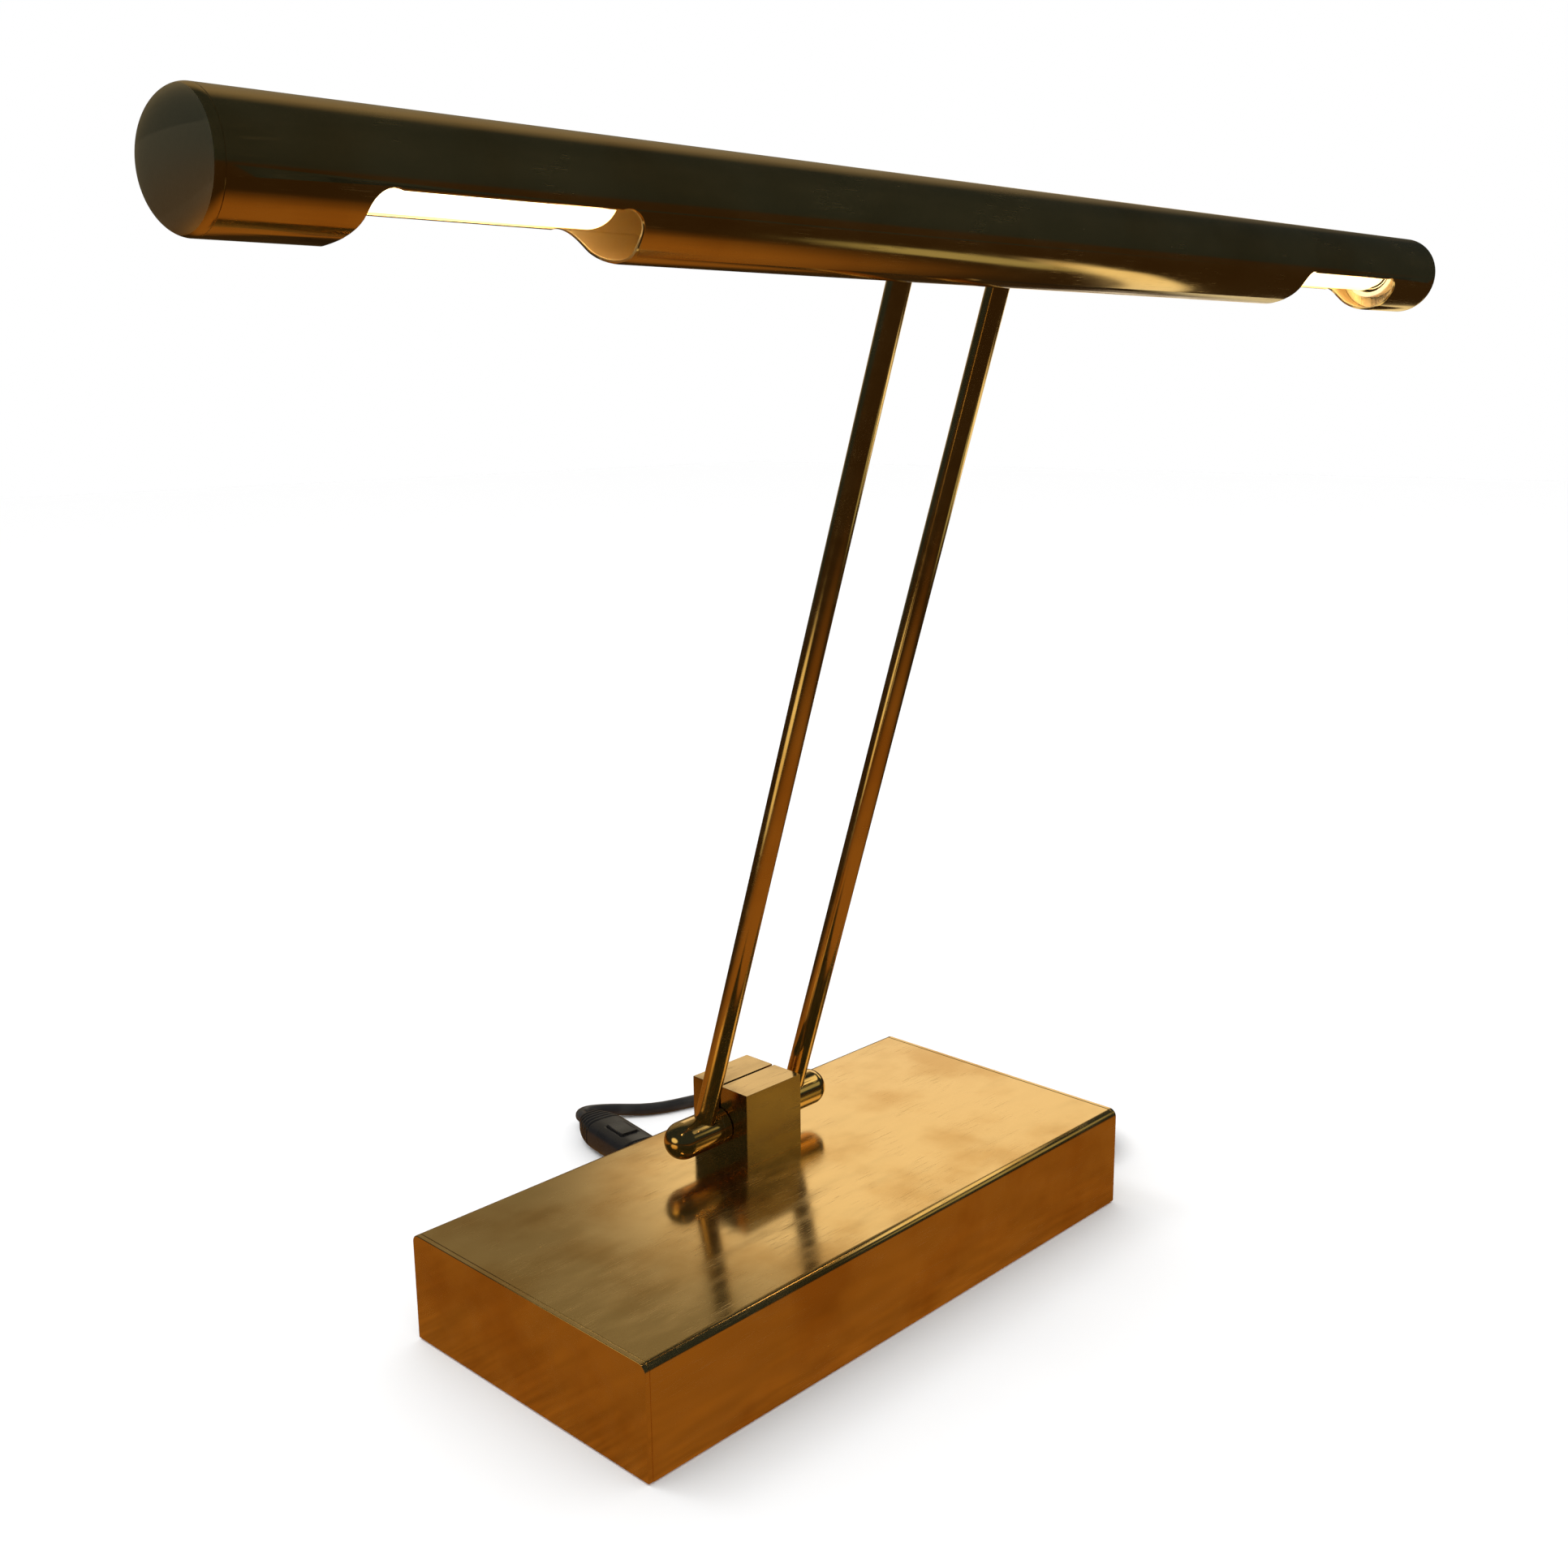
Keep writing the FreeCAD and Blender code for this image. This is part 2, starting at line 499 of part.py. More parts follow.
def shade_block():
    """The small block on the shade's back that turns on the upper axle, made like an arm piece."""
    depth = "shade_reach + shade_block_rear"
    half = "rod_spread / 2 - head_diameter / 2 - side_gap"
    body = box(f"2 * ({half})", depth, "shade_block_width", 0, f"shade_block_rear - ({depth}) / 2",
               "arm_length - shade_block_width / 2")
    bore = cylinder("upper_axle_diameter + 2 * axle_play", "2 * rod_spread", "-rod_spread", 0, "arm_length",
                    "X")
    seat = cylinder("shade_diameter", "2 * rod_spread", "-rod_spread", "-shade_reach", "arm_length", "X")
    port = cylinder("port_diameter", "shade_reach", 0, "-shade_reach", "arm_length", "Y")
    screw_holes = [
        cylinder("screw_diameter + 2 * screw_play", "shade_screw_reach + screw_head_lift",
                 f"{side} * shade_screw_spread / 2", "-shade_reach + shade_diameter / 2 - screw_head_lift",
                 "arm_length", "Y")
        for side in (-1, 1)
    ]
    keep("shade_block", lean(cut(body, bore, seat, port, *screw_holes)))
    screws = []
    for side in (-1, 1):
        x = f"{side} * shade_screw_spread / 2"
        inner = "-shade_reach + shade_diameter / 2 - shade_wall"
        head = cylinder("screw_head - 1", "screw_head_height", x,
                        f"{inner} - screw_head_height - screw_head_lift", "arm_length", "Y")
        shank = cylinder("screw_diameter", "shade_wall + shade_screw_reach + screw_head_lift", x,
                         f"{inner} - screw_head_lift", "arm_length", "Y")
        screws.append(fuse(head, shank))
    keep("shade_block_screws", lean(group(*screws)))


def along(side, start, length):
    """Where a cylinder of this length starts, on the left or the right half of the shade."""
    return start if side > 0 else f"-({start}) - ({length})"


def lamp_holders():
    for name, side in SIDES:
        start = along(side, HOLDER_MOUTH, "holder_length")
        sleeve = cylinder("holder_diameter", "holder_length", start, 0, "lamp_lift", "X")
        depth = "holder_length - holder_back"
        bore = cylinder("holder_bore", depth, along(side, HOLDER_MOUTH, depth), 0, "lamp_lift", "X")
        wire = cylinder("shade_lead_diameter + 0.2", "holder_length", start, "holder_wire_place", "lamp_lift",
                        "X")
        keep(f"lamp_holder_{name}", hang(cut(sleeve, bore, wire)))
        shell_start = along(side, f"{HOLDER_MOUTH} + {depth} - bulb_cap_length", "bulb_cap_length")
        shell_bore = "bulb_cap_diameter + 2 * shell_gap"
        shell = cylinder(f"{shell_bore} + 2 * shell_wall", "bulb_cap_length", shell_start, 0, "lamp_lift",
                         "X")
        hollow = cylinder(shell_bore, "bulb_cap_length", shell_start, 0, "lamp_lift", "X")
        keep(f"holder_shell_{name}", hang(cut(shell, hollow)))
        disc_start = along(side, f"{HOLDER_MOUTH} + disc_setback", "disc_thickness")
        disc = cylinder(f"{SHADE_BORE} - 2 * disc_play", "disc_thickness", disc_start, 0, 0, "X")
        hole = cylinder("holder_diameter + 2 * screw_play", "disc_thickness", disc_start, 0, "lamp_lift",
                        "X")
        keep(f"holder_disc_{name}", hang(cut(disc, hole)))


def bulb_envelope(side, inset):
    """The bulb's outline, drawn in by the inset: round tip, long barrel and tapered neck."""
    radius = "bulb_diameter / 2"
    diameter = f"(bulb_diameter - 2 * {inset})"
    narrow = f"bulb_cap_diameter - 1 - 2 * {inset}"
    straight = f"bulb_glass_length - {radius} - bulb_neck_length"
    tip = ball(diameter, f"{side} * ({BULB_TIP} + {radius})", 0, "lamp_lift")
    barrel_start = along(side, f"{BULB_TIP} + {radius}", straight)
    barrel = cylinder(diameter, straight, barrel_start, 0, "lamp_lift", "X")
    ends = (diameter, narrow) if side > 0 else (narrow, diameter)
    neck_start = along(side, f"{BULB_NECK} - bulb_neck_length", "bulb_neck_length")
    neck = cone(*ends, "bulb_neck_length", neck_start, 0, "lamp_lift", "X")
    return fuse(tip, barrel, neck)


def bulbs():
    for name, side in SIDES:
        glass = cut(bulb_envelope(side, "0"), bulb_envelope(side, "bulb_glass_wall"))
        keep(f"bulb_glass_{name}", hang(glass))
        straight = "bulb_cap_length - bulb_cap_taper"
        cap = cylinder("bulb_cap_diameter", straight, along(side, BULB_NECK, straight), 0, "lamp_lift", "X")
        wide, narrow = "bulb_cap_diameter", "bulb_cap_diameter / 2"
        ends = (wide, narrow) if side > 0 else (narrow, wide)
        tail_start = along(side, f"{BULB_NECK} + {straight}", "bulb_cap_taper")
        tail = cone(*ends, "bulb_cap_taper", tail_start, 0, "lamp_lift", "X")
        keep(f"bulb_cap_{name}", hang(fuse(cap, tail)))


def shade_leads():
    """A lead along the top of the shade's bore from the middle to each lamp holder."""
    leads = []
    height = f"({SHADE_BORE}) / 2 - shade_lead_diameter / 2 - 0.05"
    for side in (-1, 1):
        length = f"{HOLDER_MOUTH} - shade_lead_gap - shade_lead_start"
        leads.append(cylinder("shade_lead_diameter", length, along(side, "shade_lead_start", length), 0,
                              height, "X"))
    keep("shade_leads", hang(group(*leads)))


# Switch on the cord, made along Y from its near end, then turned and moved to its place

LEAD_END_Y = f"({WALL_Y} + bush_flange_thickness + relief_length)"
SWITCH_X = f"cord_exit_x + (switch_near_y - {LEAD_END_Y}) / 2 * tan(switch_turn)"
MIDDLE = "switch_length / 2"
BODY_LENGTH = "switch_length - 2 * switch_nose"


def place_switch(thing):
    return turn(thing, FreeCAD.Vector(0, 0, -1), "switch_turn", SWITCH_X, "switch_near_y", 0)


def nose(end):
    """One tapered end of the switch, as a wedge from the body's section to the tip's."""
    wide = (size("switch_width") / 2, 0.0, size("switch_height"))
    tip_low = size("cord_exit_z") - size("nose_tip_height") / 2
    thin = (size("nose_tip_width") / 2, tip_low, tip_low + size("nose_tip_height"))
    length = size("switch_length")
    reach = size("switch_nose")
    at = (0.0, reach) if end == "near" else (length, length - reach)

    def section(y, half, low, high):
        corner = min(half, (high - low) / 2) * 0.45
        outline = Part.makePlane(2 * half, high - low, vector(-half, y, low), vector(0, -1), vector(1, 0))
        return rounded(outline.OuterWire, corner)

    wedge = doc.addObject("Part::Feature", f"{end}_nose")
    wedge.Shape = Part.makeLoft([section(at[0], *thin), section(at[1], *wide)], True, True)
    return wedge


def rounded(wire, radius):
    """A rectangle's wire with its four corners rounded."""
    points = [v.Point for v in wire.OrderedVertexes]
    edges = []
    count = len(points)
    for i, corner in enumerate(points):
        before = (points[i - 1] - corner).normalize()
        after = (points[(i + 1) % count] - corner).normalize()
        start = corner + before * radius
        end = corner + after * radius
        centre = start + after * radius
        middle = centre + (corner - centre).normalize() * radius
        edges.append(Part.Arc(start, middle, end).toShape())
        following = points[(i + 1) % count]
        edges.append(Part.LineSegment(end, following - after * radius).toShape())
    return Part.Wire(edges)


def switch_case():
    low = box("switch_width", BODY_LENGTH, "switch_height", 0, MIDDLE, 0)
    ends = (nose("near"), nose("far"))
    half = "switch_height / 2"
    cavity = box("switch_width - 2 * switch_wall", f"{BODY_LENGTH} - 2 * switch_wall",
                 "switch_height - 2 * switch_wall", 0, MIDDLE, "switch_wall")
    channel = cylinder("cord_diameter + 0.1", "switch_length + 2", 0, "-1", "cord_exit_z", "Y")
    window = box("rocker_width + 2 * rocker_gap", "rocker_length + 2 * rocker_gap", "switch_height", 0,
                 MIDDLE, "switch_height / 2")
    pin = cylinder("rocker_pin_diameter", "switch_width", "-switch_width / 2", MIDDLE,
                   "switch_height - rocker_pin_depth", "X")
    whole = cut(fuse(low, *ends), cavity, channel, window, pin)
    for name, z, height in (("lower", "-1", f"{half} + 1"), ("upper", half, half)):
        slab = box("2 * switch_width", "2 * switch_length", height, 0, MIDDLE, z)
        piece = doc.addObject("Part::Common", f"switch_{name}")
        piece.Base = whole
        piece.Tool = slab
        keep(f"switch_case_{name}", place_switch(piece))


def switch_inside():
    pin_z = "switch_height - rocker_pin_depth"
    core = cylinder("2 * rocker_depth - 1", "rocker_width", "-rocker_width / 2", MIDDLE, pin_z, "X")
    slab = box("rocker_width", "rocker_length", "rocker_depth", 0, MIDDLE,
               "switch_height + rocker_rise - rocker_depth")
    limit = box("rocker_width", "rocker_length - 1", "2 * rocker_depth", 0, MIDDLE,
                f"{pin_z} - rocker_depth / 2")
    foot = doc.addObject("Part::Common", "rocker_foot")
    foot.Base = core
    foot.Tool = limit
    hole = cylinder("rocker_pin_diameter + 2 * rocker_pin_play", "2 * rocker_width", "-rocker_width", MIDDLE,
                    pin_z, "X")
    dip = cylinder("8 * rocker_length", "2 * rocker_width", "-rocker_width", MIDDLE,
                   "switch_height + rocker_rise - rocker_dip + 4 * rocker_length", "X")
    keep("switch_rocker", place_switch(cut(fuse(slab, foot), hole, dip)))
    pin_length = "switch_width - 2 * switch_wall + 1"
    pin = cylinder("rocker_pin_diameter", pin_length, f"-({pin_length}) / 2", MIDDLE, pin_z, "X")
    keep("rocker_pin", place_switch(group(pin)))
    contacts = [
        box("contact_length", "contact_width", "contact_thickness", 0,
            f"{MIDDLE} + {side} * contact_spread / 2", "switch_wall")
        for side in (-1, 1)
    ]
    keep("switch_contacts", place_switch(group(*contacts)))


# Cord

def straight_and_arcs(points):
    """Edges of a path of straight runs joined by tangent arcs, with its length and its smallest radius."""
    edges = []
    start = points[0]
    radii = []
    length = 0.0
    for before, corner, after in zip(points, points[1:], points[2:]):
        way_in = (corner - before).normalize()
        way_out = (after - corner).normalize()
        half_turn = way_in.getAngle(way_out) / 2
        trim = 0.45 * min((corner - before).Length, (after - corner).Length)
        radius = trim / math.tan(half_turn)
        radii.append(radius)
        enter = corner - way_in * trim
        leave = corner + way_out * trim
        inward = (way_out - way_in).normalize()
        middle = corner + inward * (radius / math.cos(half_turn) - radius)
        edges.append(Part.LineSegment(start, enter).toShape())
        edges.append(Part.Arc(enter, middle, leave).toShape())
        length += (enter - start).Length + 2 * half_turn * radius
        start = leave
    edges.append(Part.LineSegment(start, points[-1]).toShape())
    length += (points[-1] - start).Length
    return edges, length, radii


def tube(name, edges, length, radii=()):
    """A round cord along the edges, compared with its section times its length."""
    path = Part.Wire(edges)
    first = edges[0]
    way = first.tangentAt(first.FirstParameter)
    circle = Part.Circle(first.valueAt(first.FirstParameter), way, size("cord_diameter") / 2)
    shell = Part.BRepOffsetAPI.MakePipeShell(path)
    shell.add(Part.Wire(circle.toShape()))
    shell.build()
    shell.makeSolid()
    piece = doc.addObject("Part::Feature", name)
    piece.Shape = shell.shape()
    section = math.pi * size("cord_diameter") ** 2 / 4
    print(f"{name}: length {length:.1f}, radii {[round(r, 1) for r in radii]}, "
          f"volume over section times length {piece.Shape.Volume / (section * length):.4f}")
    return keep(name, piece)


def lead_start():
    y = size("base_width") / 2 + size("bush_flange_thickness") + size("relief_length")
    return vector(size("cord_exit_x"), y, size("cord_exit_z"))


def switch_point(reach):
    """A point on the switch's axis, this far from its near end. The axis meets the exit's line halfway."""
    angle = math.radians(size("switch_turn"))
    start = lead_start()
    ahead = size("switch_near_y") - start.y
    aside = ahead / 2 * math.tan(angle)
    return start + vector(aside + reach * math.sin(angle), ahead + reach * math.cos(angle))


def cord_lead():
    start = lead_start()
    end = switch_point(0)
    bend = vector(start.x, (start.y + end.y) / 2, start.z)
    edges, length, radii = straight_and_arcs([start, bend, end])
    tube("cord_lead", edges, length, radii)


def hank_entry():
    """Where the cord meets the hank, and the way it runs there: along the outer turn's far side."""
    angle = math.radians(size("hank_entry_angle"))
    radius = size("hank_fold") + 1.5 * size("hank_pitch")
    way = vector(math.sin(angle), -math.cos(angle))
    centre = vector(size("hank_x"), size("hank_far_y"), hank_level())
    touch = centre + vector(math.cos(angle), math.sin(angle)) * radius
    return touch - way * size("cord_diameter"), way, touch


def hank_level():
    return size("hank_lift") + size("cord_diameter") / 2


def cord_run():
    rest = size("cord_diameter") / 2
    tip = switch_point(size("switch_length"))
    hank = vector(size("hank_x"), size("hank_far_y"), rest)
    entry, way, _ = hank_entry()
    points = [
        tip,
        tip + vector(1.3, 8.2, -0.6),
        tip + vector(8.1, 12.6, -2),
        tip + vector(19, 9, -3.4),
        hank + vector(-103, 63.5),
        hank + vector(-80, 56),
        hank + vector(-51, 47.5),
        hank + vector(-23.5, 36.6, 0.1),
        entry - way * 19,
        entry,
    ]
    edges, length, radii = straight_and_arcs(points)
    tube("cord_run", edges, length, radii)


def lobe(centre_x, radius, far, z):
    """A half turn at one end of the hank: over the far end to the right, or back under the near end."""
    y = size("hank_far_y") if far else size("hank_near_y")
    x = size("hank_x") + centre_x
    way = 1 if far else -1
    start = vector(x - way * radius, y, z)
    top = vector(x, y + way * radius, z)
    end = vector(x + way * radius, y, z)
    return start, top, end


def half_run(start, end):
    """Two arcs that shift a run sideways and up by an S, square to the hank at both ends."""
    shift = end - start
    along = abs(shift.y)
    aside = vector(shift.x, 0, shift.z)
    if aside.Length < 0.001:
        return [Part.LineSegment(start, end).toShape()], along
    radius = (along ** 2 + aside.Length ** 2) / (4 * aside.Length)
    angle = math.asin(along / 2 / radius)
    way = vector(0, math.copysign(1, shift.y))
    side = vector(aside.x, aside.y, aside.z).normalize()
    centre_drop = radius * (1 - math.cos(angle / 2))
    first = start + way * (radius * math.sin(angle / 2)) + side * centre_drop
    last = end - way * (radius * math.sin(angle / 2)) - side * centre_drop
    middle = (start + end) / 2
    edges = [Part.Arc(start, first, middle).toShape(), Part.Arc(middle, last, end).toShape()]
    return edges, 2 * radius * angle


def cord_hank():
    """One unbroken tube: two layers that spiral in and out again, drawn in at the waist."""
    pitch = size("hank_pitch")
    fold = size("hank_fold")
    low = hank_level()
    high = low + size("hank_step")
    waist = size("hank_waist")
    shift = pitch / 2
    turns = [
        (0.0, fold + 3 * shift, True, low), (shift, fold + 2 * shift, False, low),
        (0.0, fold + shift, True, low), (shift, fold, False, low),
        (shift, fold, True, high), (0.0, fold + shift, False, high),
        (shift, fold + 2 * shift, True, high), (0.0, fold + 3 * shift, False, high),
    ]
    entry, way, touch = hank_entry()
    edges = [Part.LineSegment(entry, touch).toShape()]
    length = (touch - entry).Length
    lobes = [lobe(*turn_sizes) for turn_sizes in turns]
    middle_y = (size("hank_far_y") + size("hank_near_y")) / 2
    for i, (start, top, end) in enumerate(lobes):
        radius = turns[i][1]
        if i == 0:
            centre = vector(size("hank_x"), size("hank_far_y"), low)
            halfway = ((touch - centre) + (end - centre)).normalize() * radius + centre
            edges.append(Part.Arc(touch, halfway, end).toShape())
            length += radius * (touch - centre).getAngle(end - centre)
        else:
            edges.append(Part.Arc(start, top, end).toShape())
            length += radius * math.pi
        if i + 1 < len(lobes):
            target = lobes[i + 1][0]
            inward = -math.copysign(waist, end.x - size("hank_x"))
            centre = vector((end.x + target.x) / 2 + inward, middle_y, (end.z + target.z) / 2)
            for a, b in ((end, centre), (centre, target)):
                more, extra = half_run(a, b)
                edges += more
                length += extra
        else:
            inward = -math.copysign(waist, end.x - size("hank_x"))
            centre = vector(end.x + inward, middle_y, end.z)
            more, extra = half_run(end, centre)
            edges += more
            length += extra
    tube("cord_hank", edges, length, [turn_sizes[1] for turn_sizes in turns])
    print_least_gap(edges)
    return centre


def print_least_gap(edges):
    """The least gap between stretches of the hank that lie apart along it."""
    step = 2.0
    points = []
    travelled = 0.0
    for edge in edges:
        count = max(2, int(edge.Length / step))
        for i in range(count):
            at = edge.FirstParameter + (edge.LastParameter - edge.FirstParameter) * i / count
            points.append((travelled + edge.Length * i / count, edge.valueAt(at)))
        travelled += edge.Length
    least = min(
        (b - a).Length
        for i, (s, a) in enumerate(points)
        for t, b in points[i + 1:]
        if t - s > 6 * size("cord_diameter")
    )
    print(f"cord_hank: least gap to itself {least - size('cord_diameter'):.2f}")


def cord_tail(start):
    plug_start = plug_relief_start()
    x = size("hank_x")
    points = [
        start,
        vector(start.x, start.y + 13, start.z),
        vector(x - 24.6, start.y + 29.5, start.z - 0.7),
        vector(x - 35.6, start.y + 42.0, start.z - 1.2),
        vector(x - 50.5, size("plug_y"), size("plug_z")),
        vector(plug_start, size("plug_y"), size("plug_z")),
    ]
    edges, length, radii = straight_and_arcs(points)
    tube("cord_tail", edges, length, radii)


def plug_relief_start():
    return size("hank_x") - size("plug_setback")


def cord_tie():
    """A band round the hank's waist."""
    outer_radius = "hank_fold + 1.5 * hank_pitch - hank_waist + cord_diameter / 2 + tie_gap"
    stack = "cord_diameter + hank_step"
    middle_y = "(hank_far_y + hank_near_y) / 2"
    low = "hank_lift - 0.05"
    inner = box(f"2 * ({outer_radius})", "4 * tie_width", f"{stack} + tie_gap", "hank_x", middle_y, low)
    outer = box(f"2 * ({outer_radius}) + 2 * tie_thickness", "tie_width",
                f"{stack} + tie_gap + 2 * tie_thickness", "hank_x", middle_y, f"{low} - tie_thickness")
    keep("cord_tie", cut(outer, inner))


def plug():
    root = "hank_x - plug_setback - plug_relief_length"
    relief = cone("plug_relief_root", "plug_relief_tip", "plug_relief_length", root, "plug_y", "plug_z", "X")
    half_body = "plug_length / 2"
    head = box(half_body, "plug_width", "plug_thickness", f"{root} - plug_length + {half_body} / 2", "plug_y",
               "plug_z - plug_thickness / 2")
    grip = box(f"{half_body} + 1", "plug_width * 0.6", "plug_thickness * 0.9",
               f"{root} - {half_body} / 2 - 0.5", "plug_y", "plug_z - plug_thickness * 0.45")
    keep("plug_body", fuse(relief, head, grip))
    pins = []
    for side in (-1, 1):
        y = f"plug_y + {side} * pin_spread / 2"
        shank = cylinder("pin_diameter", "pin_length - pin_diameter / 2",
                         f"{root} - plug_length - pin_length + pin_diameter / 2", y, "plug_z", "X")
        tip = ball("pin_diameter", f"{root} - plug_length - pin_length + pin_diameter / 2", y, "plug_z")
        pins.append(fuse(shank, tip))
    keep("plug_pins", group(*pins))


def check_and_write():
    doc.recompute()
    bad = [o.Name for o in doc.Objects if any(word in str(o.State) for word in ("Invalid", "Error"))]
    bad += [name for name, piece in nodes.items() if piece.Shape.isNull() or not piece.Shape.isValid()]
    bad += [name for name, piece in nodes.items() if not piece.Shape.Solids]
    if bad:
        raise SystemExit(f"these pieces failed: {bad}")
    os.makedirs("parts", exist_ok=True)
    for name, piece in nodes.items():
        piece.Shape.exportStep(f"parts/{name}.step")
    print(f"{len(nodes)} nodes written")


for make in (
    base_cover, base_ends, base_bottom, ballast, cord_entry, hinge_block, block_fastening, lower_axle,
    lower_knobs, arm_rods, rod_heads, shade_tube, shade_caps, shade_block, lamp_holders, bulbs, shade_leads,
    switch_case, switch_inside, cord_lead, cord_run,
):
    make()
cord_tail(cord_hank())
cord_tie()
plug()
check_and_write()
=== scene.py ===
import math

import bmesh
import bpy
from mathutils import Matrix, Vector


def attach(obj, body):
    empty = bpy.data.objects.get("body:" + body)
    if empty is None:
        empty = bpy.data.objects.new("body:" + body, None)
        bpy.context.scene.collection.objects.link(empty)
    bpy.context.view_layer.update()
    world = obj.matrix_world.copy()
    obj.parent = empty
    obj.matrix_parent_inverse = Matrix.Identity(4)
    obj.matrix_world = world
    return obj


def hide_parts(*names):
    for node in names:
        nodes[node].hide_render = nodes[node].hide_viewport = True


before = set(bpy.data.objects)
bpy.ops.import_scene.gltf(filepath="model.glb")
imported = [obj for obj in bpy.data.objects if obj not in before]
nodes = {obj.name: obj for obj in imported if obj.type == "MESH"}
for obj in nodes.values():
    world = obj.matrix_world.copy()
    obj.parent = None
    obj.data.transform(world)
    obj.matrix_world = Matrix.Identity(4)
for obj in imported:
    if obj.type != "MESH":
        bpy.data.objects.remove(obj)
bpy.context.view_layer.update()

# Looks of a piano lamp, around its CAD frame. Lengths are in metres.
# +X runs along the base, -Y is the front that the shade leans to, +Z is up, and the table is at zero.

MM = 0.001


# Camera, solved from the base's corners and the shade's ends in the photograph

CAMERA_PLACE = Vector((-0.4363, -0.4215, 0.3340))
CAMERA_YAW = math.radians(45.91)
CAMERA_PITCH = math.radians(-12.94)
CAMERA_ROLL = math.radians(-0.67)
# Focal length and width of the picture, in millimetres as the camera takes them
CAMERA_LENS = 38.80
SENSOR = 36
NEAREST_SEEN = 10 * MM


def camera():
    level = math.cos(CAMERA_PITCH)
    ahead = Vector((math.sin(CAMERA_YAW) * level, math.cos(CAMERA_YAW) * level, math.sin(CAMERA_PITCH)))
    level_right = Vector((math.cos(CAMERA_YAW), -math.sin(CAMERA_YAW), 0))
    level_up = level_right.cross(ahead)
    right = math.cos(CAMERA_ROLL) * level_right + math.sin(CAMERA_ROLL) * level_up
    up = math.cos(CAMERA_ROLL) * level_up - math.sin(CAMERA_ROLL) * level_right
    data = bpy.data.cameras.new("camera")
    data.lens = CAMERA_LENS
    data.sensor_width = SENSOR
    data.clip_start = NEAREST_SEEN
    eye = bpy.data.objects.new("camera", data)
    eye.matrix_world = Matrix.Translation(CAMERA_PLACE) @ Matrix((right, up, -ahead)).transposed().to_4x4()
    bpy.context.scene.collection.objects.link(eye)
    bpy.context.scene.camera = eye


camera()


# Cord: out of the base, through its switch, round behind the base and into its hank and plug.
# The points repeat the route of the CAD source.

CORD = 5.5 * MM
CORD_EXIT = Vector((0.014, 0.0866, 0.007))
SWITCH_NEAR = Vector((0.014586, 0.094, 0.007))
SWITCH_LENGTH = 0.060
SWITCH_TURN = math.radians(9)
HANK_X = 0.161
HANK_NEAR_Y = -0.010
HANK_FAR_Y = 0.084
HANK_FOLD = 0.0165
HANK_PITCH = 0.0062
HANK_STEP = 0.0061
HANK_WAIST = 0.006
HANK_LOW = 0.0009 + CORD / 2
HANK_ENTRY_ANGLE = math.radians(68)
HANK_LEAD_IN = 0.019
# Half turns that stand half a pitch aside, so that the turns spiral in and out again
SHIFTED_TURNS = (1, 3, 4, 6)
POINT_STEP = 0.004
FEWEST_ARC_POINTS = 7
SAME_PLACE = 1e-6
PLUG_START = Vector((0.096, 0.0845, 0.00685))


def switch_point(along):
    return SWITCH_NEAR + along * Vector((math.sin(SWITCH_TURN), math.cos(SWITCH_TURN), 0))


def lead_points():
    tip = switch_point(SWITCH_LENGTH)
    rest = CORD / 2
    return [
        CORD_EXIT,
        Vector((0.014, 0.0903, 0.007)),
        switch_point(0),
        switch_point(SWITCH_LENGTH / 2),
        tip,
        tip + Vector((0.0013, 0.0082, -0.0006)),
        tip + Vector((0.0081, 0.0126, -0.002)),
        tip + Vector((0.019, 0.009, -0.0034)),
        Vector((0.058, 0.1475, rest)),
        Vector((0.081, 0.140, rest)),
        Vector((0.110, 0.1315, rest)),
        Vector((0.1375, 0.1206, rest)),
    ]


def arc_points(centre, radius, start, end):
    """Points on an arc in the plane of the table, just past its start and up to its end."""
    count = max(FEWEST_ARC_POINTS, round(abs(end - start) * radius / POINT_STEP))
    angles = [start + (end - start) * (i + 1) / count for i in range(count)]
    return [centre + radius * Vector((math.cos(a), math.sin(a), 0)) for a in angles]


def shifted_run(start, end):
    """A run along the hank that moves aside and up by an S of two equal arcs."""
    along = end.y - start.y
    aside = Vector((end.x - start.x, 0, end.z - start.z))
    count = round(abs(along) / POINT_STEP)
    if aside.length < SAME_PLACE:
        return [start.lerp(end, (i + 1) / count) for i in range(count)]
    radius = (along ** 2 + aside.length ** 2) / (4 * aside.length)

    def drop(share):
        return radius - math.sqrt(radius ** 2 - (share * along) ** 2)

    points = []
    for i in range(count):
        share = (i + 1) / count
        moved = drop(share) if share < 0.5 else aside.length - drop(1 - share)
        points.append(start + Vector((0, share * along, 0)) + aside.normalized() * moved)
    return points


